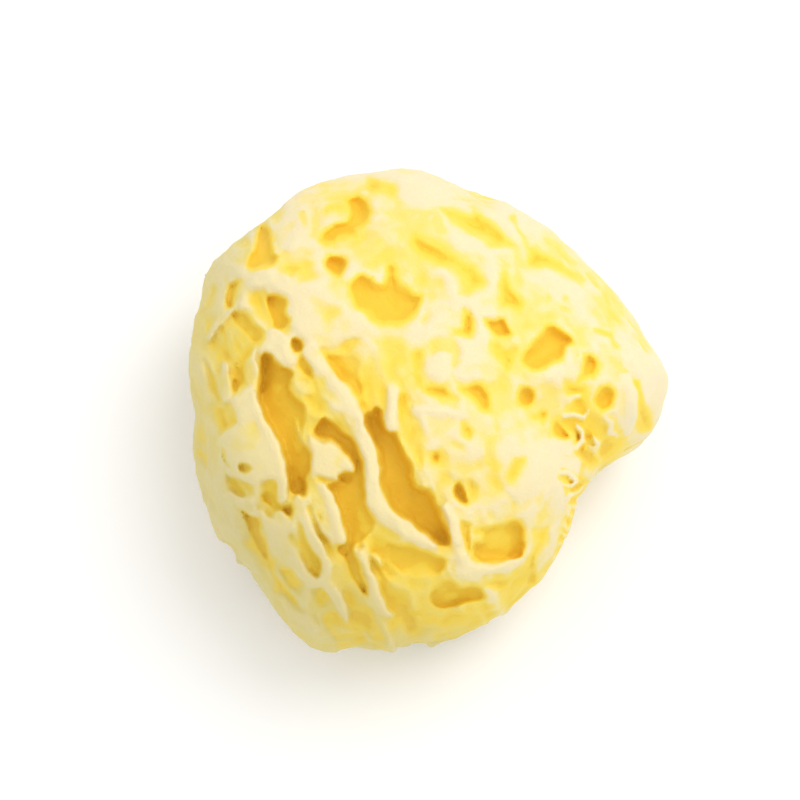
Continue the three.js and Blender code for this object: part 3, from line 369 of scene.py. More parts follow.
# Small holes, in lumps and crests too.
HOLES = [
    [3, 0.8, [-53.5, -17], [-52.5, -16], [-50, -16], [-49.2, -17.7], [-51, -19.7], [-53, -19]],
    [2.5, 0.6, [-59.2, -11], [-58.2, -12], [-57, -15.5], [-56, -17.5], [-57.5, -17], [-58.8, -14]],
    [2.5, 0.6, [-64.3, 17], [-62.5, 17], [-62.2, 15], [-63.5, 13.8], [-64.5, 15]],
    [2, 0.5, [-61, 21.5], [-60.2, 21], [-59.7, 18.5], [-60.5, 18], [-61, 19.5]],
    [3, 0.6, [-30, -29.5], [-29.2, -29.8], [-28.3, -32], [-28.2, -33.2], [-29.3, -33], [-29.9, -31]],
    [2, 0.7, [-43, -45], [-40, -44.8], [-38, -45.5], [-39, -46.5], [-42, -46]],
    [2, 0.7, [-37, -47.7], [-35.5, -48], [-34, -50], [-35, -50.3], [-36.5, -49]],
    [3, 0.7, [-55.5, 8.7], [-53.8, 9], [-53.6, 8], [-55.2, 7.3]],
]

# The low ground of the layout, in patterns of noise. Each has a depth on the lower left, where narrow crests
# part broad low ground, and one on the upper right, where the low ground lies in patches; then the length
# and the breadth of its bumps, the heading of their length, and how broad the crests are.
LOW_GROUND = [
    (2.4, 1.0, 15, 6.5, -63, 0.38),
    (1.2, 0.7, 7.5, 3.6, -58, 0.40),
    (1.3, 0.3, 9, 2.3, -62, 0.42),
    (0.4, 0.5, 4.2, 3.2, 20, 0.45),
]

# Ribs and crests that stand up from the outer form: lift, then points as across, up, half-width.
RIDGES = [
    [1.2, [-33.5, 19, 1.4], [-29.5, 13.5, 1.6], [-25, 8.3, 1.8], [-20.5, 3.5, 1.8], [-17.8, -1.5, 1.6],
      [-16.5, -8, 1.6], [-14, -15, 1.6], [-12.9, -21, 1.6], [-11.5, -27, 1.7], [-7.5, -31.7, 1.7],
      [-2, -34.8, 1.7], [3, -37.3, 1.5], [6, -38.3, 0.9]],
    [0.8, [0.8, -20.5, 1], [5.5, -22.3, 1.1], [8.3, -26.5, 1.2], [10.3, -31, 1.2], [12, -36.5, 1]],
    [0.8, [14.5, -41, 0.8], [16, -46, 1.6], [20.5, -45.7, 1.2], [26, -44.7, 0.9]],
    [1.2, [-15.5, -44, 0.9], [-12.8, -50, 1.4], [-9.5, -56.5, 1.6], [-6.6, -60, 1.3]],
    [1.2, [-8.3, 7, 1.1], [-8.1, 2, 1.3], [-7.6, -2.4, 1.3]],
    [0.8, [-49.5, 5, 1], [-48.5, 1, 1], [-46, -5, 1.1], [-42.8, -10.5, 1.2], [-40.8, -16, 1.2],
      [-39.4, -22, 1.1], [-39.8, -26.5, 0.8]],
    [0.8, [-55, 31, 1], [-54, 36, 1.4], [-50.5, 40, 1.8], [-45, 40.8, 1.8], [-40, 39, 1.6]],
    [0.8, [62, 13, 1.4], [64, 8, 1.4], [64.2, 2, 1.3], [62.5, -3, 1]],
]

# Canals that open in the cut underside: x, y, radius, depth.
CANALS = [
    [24, 8, 3.6, 9], [-20, 16, 4, 10], [6, 29, 3.2, 8], [-8, -25, 4.2, 10], [31, -15, 3, 7],
    [-34, -6, 3.4, 9], [39, 13, 3.4, 7], [-26, 37, 3.6, 8], [14, -39, 3.4, 8], [-32, -30, 3.2, 7],
    [28, 35, 3.4, 7], [-46, 15, 3, 6], [0, 47, 3, 6],
]

# Pits of the sides, which the layout doesn't reach: how many places are tried, how many points a pit
# has, the step between them, and the least and greatest half-width and depth.
SIDE_PITS = [
    {"tried": 90, "points": 3, "step": 6.5, "radius": (3.8, 5.8), "depth": (9, 15)},
    {"tried": 300, "points": 2, "step": 4, "radius": (2.2, 3.6), "depth": (5, 9)},
    {"tried": 900, "points": 1, "step": 0, "radius": (0.9, 1.5), "depth": (2.5, 5)},
]
SIDE_WALL = 1.6                 # the thinnest wall left between two of them
SIDE_FACING = 0.02              # the most that one of them may face the eye
GOLDEN_ANGLE = math.pi * (3 - math.sqrt(5))

# The grid that holds the field.
CELL = 0.6
GRID_LOW = np.array([-77.4, -78.6, -2.4])
GRID_SHAPE = (256, 264, 174)

# Where each pattern of random values starts.
SEEDS = {"outer": 100, "creases": 120, "warp": 200, "fine": 300, "skirt": 320, "bends": 500,
         "low ground": 540, "rags": 570}
WARP_SEED_STEP = 10
BEND_SEED_STEP = 20

# The directions of the layout, its middle and the eye.
CENTRE = np.array([0, 0, EQUATOR])
TOWARDS_EYE = np.array([0, -math.cos(SIGHT_ELEVATION), math.sin(SIGHT_ELEVATION)])
ACROSS = np.array([1.0, 0, 0])
UP = np.cross(TOWARDS_EYE, ACROSS)
LAYOUT_MIDDLE = CENTRE - LAYOUT_SHIFT * ACROSS
EYE = LAYOUT_MIDDLE + SIGHT_DISTANCE * TOWARDS_EYE


def between(limits, share):
    return limits[0] + (limits[1] - limits[0]) * share


SCATTER_STEPS = (127.1, 311.7)
SCATTER_GAIN = 43758.5453


def scatter(a, b):
    """A repeatable number from 0 to 1 for the whole numbers a and b."""
    x = math.sin(a * SCATTER_STEPS[0] + b * SCATTER_STEPS[1]) * SCATTER_GAIN
    return x - math.floor(x)


def unit(v):
    return v / np.linalg.norm(v, axis=-1, keepdims=True)


# The outer form

PLAN_STEPS = 360
PLAN_SMOOTHING = 2


def plan_radii():
    """The plan radius in each direction: straight between the outline's points, then smoothed."""
    x = np.array([p[0] - LAYOUT_SHIFT for p in OUTLINE])
    y = np.array([p[1] for p in OUTLINE])
    angle = np.mod(np.arctan2(y, x), 2 * math.pi)
    order = np.argsort(angle)
    steps = np.arange(PLAN_STEPS) * 2 * math.pi / PLAN_STEPS
    straight = np.interp(steps, angle[order], np.hypot(x, y)[order], period=2 * math.pi)
    shifts = range(-PLAN_SMOOTHING, PLAN_SMOOTHING + 1)
    return sum(np.roll(straight, k) for k in shifts) / len(shifts)


PLAN = np.append(plan_radii(), plan_radii()[0])


def plan_radius(x, y):
    place = np.mod(np.arctan2(y, x), 2 * math.pi) * PLAN_STEPS / (2 * math.pi)
    return np.interp(place, np.arange(PLAN_STEPS + 1), PLAN)


def waves(x, y, z):
    total = 0
    for lift, size, shift in WAVES:
        total = total + (lift * np.sin(x / size[0] + shift[0]) * np.sin(y / size[1] + shift[1])
                         * np.sin(z / size[2] + shift[2]))
    return total


def dome_distance(x, y, z):
    """The distance outside the plain domed form, measured along the line from the centre."""
    up = z - EQUATOR
    flat = np.hypot(x, y) / plan_radius(x, y)
    tall = np.abs(up) / np.where(up > 0, HEIGHT - EQUATOR, UNDER_REACH)
    share = (flat ** FULLNESS + tall ** FULLNESS) ** (1 / FULLNESS)
    return np.sqrt(x * x + y * y + up * up) * (1 - 1 / np.maximum(share, 1e-6))


# The swellings that are placed so far, as centre, radius and lift.
swellings = []


def outer_distance(p):
    """How far the points p are outside the form before any pit: the dome with its swellings and waves."""
    x, y, z = p[..., 0], p[..., 1], p[..., 2]
    d = dome_distance(x, y, z) - waves(x, y, z)
    for at, radius, lift in swellings:
        d = d - lift * np.exp(-((p - at) ** 2).sum(axis=-1) / (radius * radius))
    return d


# Places on the outer form

OUTSIDE = 110.0                 # further from the centre than any of the sponge
COARSE_STEP = 1.0               # the step along a ray until it is inside the form
HALVINGS = 18                   # how often that step is halved to find the surface


def first_hits(start, direction, length):
    """The first points of the outer form along rays from outside, and which of the rays hit it."""
    t = np.arange(0, length, COARSE_STEP)
    inside = outer_distance(start[:, None] + direction[:, None] * t[None, :, None]) <= 0
    hit = inside.any(axis=1)
    near = t[inside.argmax(axis=1)]
    out, into = near - COARSE_STEP, near.copy()
    for _ in range(HALVINGS):
        middle = (out + into) / 2
        deep = outer_distance(start + direction * middle[:, None]) <= 0
        into = np.where(deep, middle, into)
        out = np.where(deep, out, middle)
    return start + direction * into[:, None], hit


def surface_at(directions):
    points, _ = first_hits(CENTRE + OUTSIDE * directions, -directions, OUTSIDE)
    return points


def sight_hits(across, up):
    """The first points of the outer form along the lines of sight at places of the layout, and which of
    the lines hit it."""
    direction = unit(LAYOUT_MIDDLE + across[:, None] * ACROSS + up[:, None] * UP - EYE)
    return first_hits(EYE + direction * (SIGHT_DISTANCE - OUTSIDE), direction, OUTSIDE + EQUATOR)


LEAST_SHARE = 0.5               # how far a place may move in, as a share of its distance from the middle
SHARE_STEP = 0.01


def seen_at(places):
    """The points of the outer form that are seen at places of the layout. A place that just misses the
    form moves towards the middle until it is on it."""
    places = np.array(places, float)
    share = np.ones(len(places))
    while True:
        points, hit = sight_hits(places[:, 0] * share, places[:, 1] * share)
        if hit.all():
            return points
        share = np.where(hit, share, share - SHARE_STEP)
        if share.min() < LEAST_SHARE:
            raise ValueError("a place of the layout is far outside the sponge")


SLOPE_STEP = 0.5                # how far apart the distances that give a slope are taken


def outward_normals(p):
    steps = np.eye(3) * SLOPE_STEP
    return unit(np.stack([outer_distance(p + s) - outer_distance(p - s) for s in steps], axis=-1))


# Chains of round sections, for the pits of the sides and the ribs

OUTLINE_CLEARANCE = 1.5         # how far a side pit keeps from the points of an outline


def make_chain(at, radius, inward=None, depth=0.0):
    return {"at": np.array(at), "radius": np.array(radius, float), "inward": inward, "depth": depth}


def laid_places():
    """The points of all the outlines, as places that a side pit keeps clear of."""
    places = [p[:2] for _, _, *outline in HOLLOWS for p in outline]
    return [make_chain(seen_at(places), [OUTLINE_CLEARANCE] * len(places))]


RIDGE_BREADTH = 1.5             # how much broader the ribs are than listed
RIDGE_LIFT = 0.3                # and their height as a share of that listed


def laid_ridges():
    made = []
    for lift, *places in RIDGES:
        at = seen_at([p[:2] for p in places])
        radius = np.array([p[2] for p in places], float) * RIDGE_BREADTH
        made.append(make_chain(at + outward_normals(at) * (lift * RIDGE_LIFT - radius)[:, None], radius))
    return made


def canals():
    return [make_chain([[x, y, 0.0]], [radius], np.array([[0, 0, 1.0]]), depth)
            for x, y, radius, depth in CANALS]


def turned(v, axis, angle):
    """The vectors v turned by an angle about their axes, which are square to them."""
    return v * np.cos(angle)[:, None] + np.cross(axis, v) * np.sin(angle)[:, None]


TURNING = 2.0                   # the range of the turn from one step to the next, in radians
# Numbers that keep the draws of scatter apart.
KIND_SALT = 10
FIRST_SALT = 3
TURN_SALT = 5
DEPTH_SALT = 9
BASE_CLEARANCE = 1.0            # how far a side pit stays above the cut underside


def scattered(places, salt):
    return np.array([scatter(k, salt) for k in places])


def wandering_pits(kind, salt):
    """All the places that one kind of side pit is tried at, on an even spiral over the whole form."""
    count = kind["tried"]
    i = np.arange(count)
    height = 1 - (2 * i + 1) / count
    flat = np.sqrt(1 - height * height)
    around = i * GOLDEN_ANGLE + salt
    direction = np.stack([flat * np.cos(around), flat * np.sin(around), height], axis=-1)
    heading = scattered(i, salt) * 2 * math.pi
    steps = []
    for k in range(kind["points"]):
        at = surface_at(direction)
        radius = between(kind["radius"], scattered(i, salt + 1 + k))
        steps.append((at, radius, -direction))
        normal = outward_normals(at)
        side = turned(unit(np.cross([0, 0, 1.0], normal)), normal, heading)
        direction = unit(at + side * kind["step"] - CENTRE)
        heading = heading + (scattered(i, salt + TURN_SALT + k) - 0.5) * TURNING
    depths = between(kind["depth"], scattered(i, salt + DEPTH_SALT))
    at, radius, inward = (np.stack([s[k] for s in steps], axis=1) for k in range(3))
    return [make_chain(at[j], radius[j], inward[j], depths[j]) for j in i]


def touches(pit, at, radius):
    gap = np.linalg.norm(pit["at"][:, None] - at[None], axis=-1) - pit["radius"][:, None] - radius[None]
    return (gap < SIDE_WALL).any()


def side_pits(laid):
    made = []
    at = np.concatenate([c["at"] for c in laid])
    radius = np.concatenate([c["radius"] for c in laid])
    for order, kind in enumerate(SIDE_PITS):
        for pit in wandering_pits(kind, KIND_SALT * order + FIRST_SALT):
            hidden = pit["inward"] @ TOWARDS_EYE > -SIDE_FACING
            clear = pit["at"][:, 2] > pit["radius"] + BASE_CLEARANCE
            if hidden.all() and clear.all() and not touches(pit, at, radius):
                made.append(pit)
                at = np.concatenate([at, pit["at"]])
                radius = np.concatenate([radius, pit["radius"]])
    return made


# The field on the grid

LATTICE_SPARE = 5               # how many values the lattice of smooth noise has beyond those it spans
AXES = [(GRID_LOW[k] + CELL * np.arange(GRID_SHAPE[k])).astype(np.float32) for k in range(3)]


def spline(t):
    """The weights of the four values around a place, for its share t of the way between the middle two."""
    after = -3 * t ** 3 + 3 * t ** 2 + 3 * t + 1
    return np.stack([(1 - t) ** 3, 3 * t ** 3 - 6 * t ** 2 + 4, after, t ** 3]) / 6


def smooth_noise(size, seed, step, shape):
    """Smooth noise on a raster of the given step and shape, with bumps of about the given size."""
    rng = np.random.default_rng(seed)
    values = rng.uniform(-1, 1, [int(n * step / size) + LATTICE_SPARE for n in shape])
    for axis, count in enumerate(shape):
        place = np.arange(count) * step / size + 1
        first = np.floor(place).astype(int)
        weights = spline(place - first)
        along = [1] * len(shape)
        along[axis] = count
        values = sum(np.take(values, first - 1 + k, axis=axis) * weights[k].reshape(along) for k in range(4))
    return values


# What makes up for what the smoothing takes from the random values, on the grid and on the flat raster.
NOISE_GAIN = 2.2
FLAT_NOISE_GAIN = 1.7


def noise(size, seed):
    """Smooth noise over the whole grid, mostly between -1 and 1."""
    return (smooth_noise(size, seed, CELL, GRID_SHAPE) * NOISE_GAIN).astype(np.float32)


def smooth_max(a, b, k):
    h = np.maximum(k - np.abs(a - b), 0) / k
    return np.maximum(a, b) + h * h * (k / 4)


SPARE_REACH = 4.0               # how far beyond its radius and depth a chain can touch the field


def part_of_grid(chain):
    """The slices of the grid that a chain can touch."""
    reach = np.hypot(chain["radius"].max(), chain["depth"]) + SPARE_REACH
    low = (chain["at"].min(axis=0) - reach - GRID_LOW) / CELL
    high = (chain["at"].max(axis=0) + reach - GRID_LOW) / CELL
    return tuple(slice(max(int(low[k]), 0), min(int(high[k]) + 2, GRID_SHAPE[k])) for k in range(3))


def nearest_section(chain, p):
    """The offset from the nearest place of a chain, with its radius, and the way in there."""
    at, radius = chain["at"].astype(np.float32), chain["radius"].astype(np.float32)
    best = None
    for i in range(max(1, len(at) - 1)):
        j = min(i + 1, len(at) - 1)
        along = at[j] - at[i]
        t = np.clip(((p - at[i]) @ along) / max(float(along @ along), 1e-9), 0, 1)
        offset = p - at[i] - t[..., None] * along
        r = radius[i] + (radius[j] - radius[i]) * t
        off = np.sqrt((offset ** 2).sum(axis=-1)) - r
        if chain["inward"] is None:
            best = off if best is None else np.minimum(best, off)
            continue
        a, b = chain["inward"][i].astype(np.float32), chain["inward"][j].astype(np.float32)
        inward = unit(a + (b - a) * t[..., None])
        down = (offset * inward).sum(axis=-1)
        side = np.sqrt(np.maximum((offset ** 2).sum(axis=-1) - down * down, 0))
        if best is None:
            best = [off, down, side, r]
            continue
        nearer = off < best[0]
        best = [np.where(nearer, new, old) for new, old in zip([off, down, side, r], best)]
    return best


SQUARENESS = 3.0                # 2 gives a pit the form of an ellipsoid, and more gives it straighter walls


def pit_distance(chain, p):
    _, down, side, radius = nearest_section(chain, p)
    deep = np.maximum(down, 0) / chain["depth"]
    below = (np.sqrt((side / radius) ** 2 + deep ** SQUARENESS) - 1) * radius
    return np.where(down < 0, side - radius + FLARE * down, below)


RIM_ROUNDING = 1.4              # radius of the fillet at the rim of a side pit
# Noise on the outer form: size of the bumps and height, in millimetres.
OUTER_NOISE = [(13, 1.0), (6.5, 0.5)]
# Creased noise, with crests where it passes through nothing: size, height on the lower left, height on
# the upper right.
CREASES = [(8.5, 0.8, 0.8), (4.2, 0.6, 0.5), (2.4, 0.3, 0.2)]
CREASE_ROUNDING = 0.12
CREASE_LEVEL = 0.35             # what is taken off creased noise, so that it lifts as much as it sinks
FINE_NOISE = [(3.2, 0.14), (1.9, 0.14)]
# More of it on the ragged skirt of the lower left, up to a height.
SKIRT_NOISE = [(5.0, 1.6), (2.6, 1.3)]
SKIRT_TOP = 62.0
# How far the edges of the side pits wander: size of the bends and reach.
WARP = [(9.0, 1.5), (4.2, 0.7)]
# The same for the outlines of the layout.
OUTLINE_WARP = [(5.0, 0.5), (1.9, 0.35)]
SOFT_OUTLINE_WARP = [(7.0, 0.9), (2.6, 0.6)]


# The relief, as depths on a fine flat raster of the layout

RASTER = 0.3
RASTER_LOW = -81.0
RASTER_COUNT = 541
NOISE_SPAN = 64                 # how many values a side the lattice of stretched noise has
OUTER_EDGE = 0.35               # how far outside its outline a hollow starts to sink
COLOURED_EDGE = 0.7             # and to change its colour
SOFT_EDGE = 1.8                 # shapes with edges as wide as this have outlines that wander more
SOFTER = 1.2                    # how much wider the dug edges of hollows are than the coloured ones
SOFTER_UPPER_RIGHT = 1.3        # and how much more so on the upper right
SHARPER = 0.7                   # how wide the coloured edges are, as a share of the widths that are listed
SHOULDERED = 4.0                # the depth from which a hollow has sloping ground around it
SHOULDER = 1.9                  # how far out that ground reaches
SHOULDER_DEPTH = 1.3
OUTLINE_SPARE = 2.0             # how far beyond that a shape can touch the raster
CREST_RAGS = 0.35               # how much of its half-width a thin crest gains or loses
CREST_RAG_SIZE = 2.4
CREST_DIP = 0.9                 # how much its level varies
CREST_FOOT = 0.8                # how far the slope of a thin crest reaches out, in half-widths
CREST_EDGE = 0.4                # how far in that slope reaches
CREST_SPARE = 3.0               # how far beyond its double half-width a crest can touch the raster
POINT_BLUR = 0.3                # keeps the weight of an outline's point finite where it stands
POINT_PULL = 1.5
# The sum of across and up where the lower left starts, and how far on it is reached.
LOWER_LEFT_START = 25.0
LOWER_LEFT_SPAN = 65.0
PATCH_FROM, PATCH_TO = 0.05, 0.75   # the noise at the edge and in the middle of a patch of low ground


def flat_noise(size, seed):
    """Smooth noise over the raster, mostly between -1 and 1."""
    return smooth_noise(size, seed, RASTER, (RASTER_COUNT, RASTER_COUNT)) * FLAT_NOISE_GAIN


def flat_noise_at(x, y, seed):
    """Smooth noise at any places, given in sizes of its bumps."""
    values = np.random.default_rng(seed).uniform(-1, 1, (NOISE_SPAN, NOISE_SPAN))
    i, j = np.floor(x).astype(int), np.floor(y).astype(int)
    total = 0
    for di, wi in enumerate(spline(x - i)):
        for dj, wj in enumerate(spline(y - j)):
            total = total + values[(i + di) % NOISE_SPAN, (j + dj) % NOISE_SPAN] * wi * wj
    return total * FLAT_NOISE_GAIN


def off_line(x, y, start, end):
    """How far along a line the places x, y lie, from 0 to 1, and how far off it."""
    (ax, ay), (bx, by) = start, end
    length = (bx - ax) ** 2 + (by - ay) ** 2
    t = np.clip(((x - ax) * (bx - ax) + (y - ay) * (by - ay)) / length, 0, 1)
    return t, np.hypot(x - ax - t * (bx - ax), y - ay - t * (by - ay))


def outline_reach(points, x, y):
    """How far the places x, y lie inside an outline, less than nothing outside it."""
    inside = np.zeros(x.shape, bool)
    nearest = np.full(x.shape, np.inf)
    for (ax, ay), (bx, by) in zip(points, np.roll(points, -1, axis=0)):
        crosses = (ay > y) != (by > y)
        inside ^= crosses & (x < (bx - ax) * (y - ay) / (by - ay if by != ay else 1) + ax)
        nearest = np.minimum(nearest, off_line(x, y, (ax, ay), (bx, by))[1])
    return np.where(inside, nearest, -nearest)


def floor_depth(outline, depth, x, y):
    """The depth of the floor inside an outline, between the depths given at its points."""
    depths = [p[2] if len(p) > 2 else depth for p in outline]
    if len(set(depths)) == 1:
        return depth
    total, weights = 0, 0
    for p, d in zip(outline, depths):
        w = 1 / ((x - p[0]) ** 2 + (y - p[1]) ** 2 + POINT_BLUR) ** POINT_PULL
        total, weights = total + w * d, weights + w
    return total / weights


def eased(share):
    return share * share * (3 - 2 * share)


def settle(depths, where, level, share, sense):
    """Digs down to a level, or fills up to it, by a share at each place."""
    share = eased(share)
    before = depths[where]
    if sense > 0:
        depths[where] = np.maximum(before, level * share)
    else:
        depths[where] = before + share * (np.minimum(before, level) - before)


def part_of_raster(points, spare):
    low = ((points.min(axis=0) - RASTER_LOW - spare) / RASTER).astype(int)
    high = ((points.max(axis=0) - RASTER_LOW + spare) / RASTER).astype(int) + 2
    return slice(max(low[0], 0), high[0]), slice(max(low[1], 0), high[1])


def lay_outline(depths, places, shape, sense, softened):
    """Digs a listed shape into the raster of depths where sense is 1, or fills it up where that is -1."""
    depth, edge, *outline = shape
    points = np.array([p[:2] for p in outline], float)
    where = part_of_raster(points, SHOULDER + OUTLINE_SPARE)
    x, y = (a[where] for a in places[edge >= SOFT_EDGE])
    reach = outline_reach(points, x, y)
    outer = OUTER_EDGE
    if softened and sense > 0:
        edge = edge * (SOFTER + SOFTER_UPPER_RIGHT * (1 - lower_left_at(*points.mean(axis=0))))
    elif not softened:
        edge, outer = edge * SHARPER, COLOURED_EDGE
    if sense > 0 and depth >= SHOULDERED:
        settle(depths, where, SHOULDER_DEPTH, np.clip(reach / SHOULDER + 1, 0, 1), 1)
    share = np.clip((reach + outer) / (edge + outer), 0, 1)
    settle(depths, where, floor_depth(outline, depth, x, y), share, sense)


def lower_left_at(across, up):
    """1 on the lower left of the layout and 0 on the upper right."""
    return np.clip((LOWER_LEFT_START - across - up) / LOWER_LEFT_SPAN, 0, 1)


def lay_crest(depths, places, ragged, crest):
    """Fills the raster of depths up to a thin ragged crest along its line."""
    level, *line = crest
    points = np.array(line, float)
    where = part_of_raster(points[:, :2], 2 * points[:, 2].max() + CREST_SPARE)
    x, y = (a[where] for a in places[True])
    inside, breadth = np.full(x.shape, -np.inf), np.ones(x.shape)
    for (*start, ar), (*end, br) in zip(points, points[1:]):
        t, gap = off_line(x, y, start, end)
        half = ar + (br - ar) * t
        breadth = np.where(half - gap > inside, half, breadth)
        inside = np.maximum(inside, half - gap)
    inside = inside + CREST_RAGS * breadth * ragged[where]
    level = level + CREST_DIP * np.maximum(ragged[where], 0)
    foot = CREST_FOOT * breadth
    settle(depths, where, level, np.clip((inside + foot) / (foot + CREST_EDGE), 0, 1), -1)


def low_ground(across, up):
    """Broad shallow low ground with crests where the noise passes through nothing."""
    lower_left = lower_left_at(across, up)
    total = 0
    for seed, (low, high, length, breadth, heading, crest) in enumerate(LOW_GROUND):
        turn = math.radians(heading)
        along = across * math.cos(turn) + up * math.sin(turn)
        aside = up * math.cos(turn) - across * math.sin(turn)
        wave = flat_noise_at(along / length, aside / breadth, SEEDS["low ground"] + seed)
        crested = low * (1 - np.exp(-(wave / crest) ** 2))
        patched = np.clip((wave - PATCH_FROM) / (PATCH_TO - PATCH_FROM), 0, 1)
        patched = high * patched * patched * (3 - 2 * patched)
        total = total + patched + (crested - patched) * lower_left
    return total


def bent(flat, bends):
    """The places of the raster across and up, moved by smooth noise."""
    moved = []
    for k, a in enumerate(flat):
        seed = SEEDS["bends"] + BEND_SEED_STEP * k
        moved.append(a + sum(reach * flat_noise(size, seed + j) for j, (size, reach) in enumerate(bends)))
    return moved


def relief(softened):
    """The depths of the layout's hollows on the raster, with softened edges to dig or as they are drawn."""
    axis = RASTER_LOW + RASTER * np.arange(RASTER_COUNT)
    flat = np.meshgrid(axis, axis, indexing="ij")
    places = {False: bent(flat, OUTLINE_WARP), True: bent(flat, SOFT_OUTLINE_WARP)}
    depths = low_ground(*places[False])
    for shape in PLATEAUS:
        lay_outline(depths, places, shape, -1, softened)
    for shape in HOLLOWS:
        lay_outline(depths, places, shape, 1, softened)
    for shape in LUMPS:
        lay_outline(depths, places, shape, -1, softened)
    ragged = flat_noise(CREST_RAG_SIZE, SEEDS["rags"])
    for crest in CRESTS:
        lay_crest(depths, places, ragged, crest)
    for shape in HOLES:
        lay_outline(depths, places, shape, 1, softened)
    return depths


HIT_STEP = 1.0                  # the step of the coarse raster on which the outer form is met
LAST_SHARE = 0.999              # how far towards the last value of a raster a place is taken to lie
FILL_ROUNDS = 6


def first_distances():
    """How far from the eye the outer form is first met, on a coarse raster of the layout, with the
    places just outside it filled in from their neighbours."""
    count = int((RASTER_COUNT - 1) * RASTER / HIT_STEP) + 1
    axis = RASTER_LOW + HIT_STEP * np.arange(count)
    across, up = (a.ravel() for a in np.meshgrid(axis, axis, indexing="ij"))
    points, hit = sight_hits(across, up)
    distance = np.where(hit, np.linalg.norm(points - EYE, axis=-1), 0).reshape(count, count)
    for _ in range(FILL_ROUNDS):
        near = np.max([np.roll(distance, shift, axis) for shift in (-1, 1) for axis in (0, 1)], axis=0)
        distance = np.where(distance > 0, distance, near)
    return np.where(distance > 0, distance, SIGHT_DISTANCE)


def flat_sampled(values, step, across, up):
    """Values of a raster of the layout at places across and up."""
    last = values.shape[0] - 2
    x = np.clip((across - RASTER_LOW) / step, 0, last + LAST_SHARE)
    y = np.clip((up - RASTER_LOW) / step, 0, last + LAST_SHARE)
    i, j = x.astype(int), y.astype(int)
    s, t = x - i, y - j
    return ((values[i, j] * (1 - s) + values[i + 1, j] * s) * (1 - t)
            + (values[i, j + 1] * (1 - s) + values[i + 1, j + 1] * s) * t)


DEEPEST = 22.0                  # how far inside the outer form hollows are still looked for
ABOVE_FORM = 2.0                # and how far outside it
ABOVE_BASE = 1.0                # and how far above the cut underside
FLOOR_SPARE = 1.3               # how many times its depth a hollow reaches down before it fades out
FADE_REACH = 9.0                # the distance over which a hollow fades out along the line of sight
LEAST_FACING = 0.3
FULL_FACING = 0.75              # how much a place must face the eye for a hollow to have its whole depth
DEEP = 4.0
DEEP_SHARE = 0.5                # how much of a hollow's depth beyond that is dug
DIG_SHARES = (0.75, 1.0)        # how much of that is dug on the upper right and on the lower left


def laid_depths(p, rasters, met):
    """The drawn depth at points in millimetres, and how much is dug there."""
    drawn, softened = rasters
    slope = np.hypot(*np.gradient(met, HIT_STEP))
    facing = np.maximum(1 / np.sqrt(1 + slope ** 2), LEAST_FACING)
    p = p - EYE
    along = -(p @ TOWARDS_EYE)
    across = p @ ACROSS / along * SIGHT_DISTANCE
    up = p @ UP / along * SIGHT_DISTANCE
    facing = flat_sampled(facing, HIT_STEP, across, up)
    laid = flat_sampled(drawn, RASTER, across, up)
    dug = flat_sampled(softened, RASTER, across, up)
    dug = np.minimum(dug, DEEP) + np.maximum(dug - DEEP, 0) * DEEP_SHARE
    dug = dug * np.minimum(facing / FULL_FACING, 1) * between(DIG_SHARES, lower_left_at(across, up))
    behind = np.linalg.norm(p, axis=-1) - flat_sampled(met, HIT_STEP, across, up)
    reach = FADE_REACH / facing
    share = np.clip((dug / facing * FLOOR_SPARE + reach - behind) / reach, 0, 1)
    return laid * share, dug * share


def carve(field, outer, rasters, met):
    """Sinks the hollows of the layout into the field, along the lines of sight."""
    near = (outer > -DEEPEST) & (outer < ABOVE_FORM)
    i, j, k = np.nonzero(near & (AXES[2] > ABOVE_BASE)[None, None, :])
    _, dug = laid_depths(np.stack([AXES[0][i], AXES[1][j], AXES[2][k]], axis=-1), rasters, met)
    field[i, j, k] += dug


def grid_points(where):
    x, y, z = (AXES[k][where[k]] for k in range(3))
    return np.stack(np.broadcast_arrays(x[:, None, None], y[None, :, None], z[None, None, :]), axis=-1)


SWELLING_REACH = 3              # how many of its radii a swelling is added within


def outer_field():
    """The distance outside the form before any pit, as outer_distance gives it, on the whole grid."""
    x, y, z = (AXES[k].astype(float) for k in range(3))
    up = z - EQUATOR
    flat = np.hypot(x[:, None], y[None, :]) / plan_radius(x[:, None], y[None, :])
    tall = np.abs(up) / np.where(up > 0, HEIGHT - EQUATOR, UNDER_REACH)
    share = (flat[..., None] ** FULLNESS + tall ** FULLNESS).astype(np.float32) ** (1 / FULLNESS)
    out = np.sqrt((x[:, None] ** 2 + y[None, :] ** 2)[..., None] + up ** 2).astype(np.float32)
    field = out * (1 - 1 / np.maximum(share, 1e-6))
    field -= waves(x[:, None, None], y[None, :, None], z[None, None, :]).astype(np.float32)
    for at, radius, lift in swellings:
        reach = {"at": at[None], "radius": np.array([SWELLING_REACH * radius]), "depth": 0.0}
        where = part_of_grid(reach)
        p = grid_points(where)
        field[where] -= lift * np.exp(-((p - at.astype(np.float32)) ** 2).sum(axis=-1) / (radius * radius))
    return field


RAGGED_SPAN = 90.0              # the distance over which creases change from one side to the other


def lower_left_share():
    """1 at the lower left of the grid and 0 at the upper right."""
    along = (AXES[0][:, None] + AXES[1][None, :]) / math.sqrt(2)
    return eased(np.clip(0.5 - along / RAGGED_SPAN, 0, 1)).astype(np.float32)[..., None]


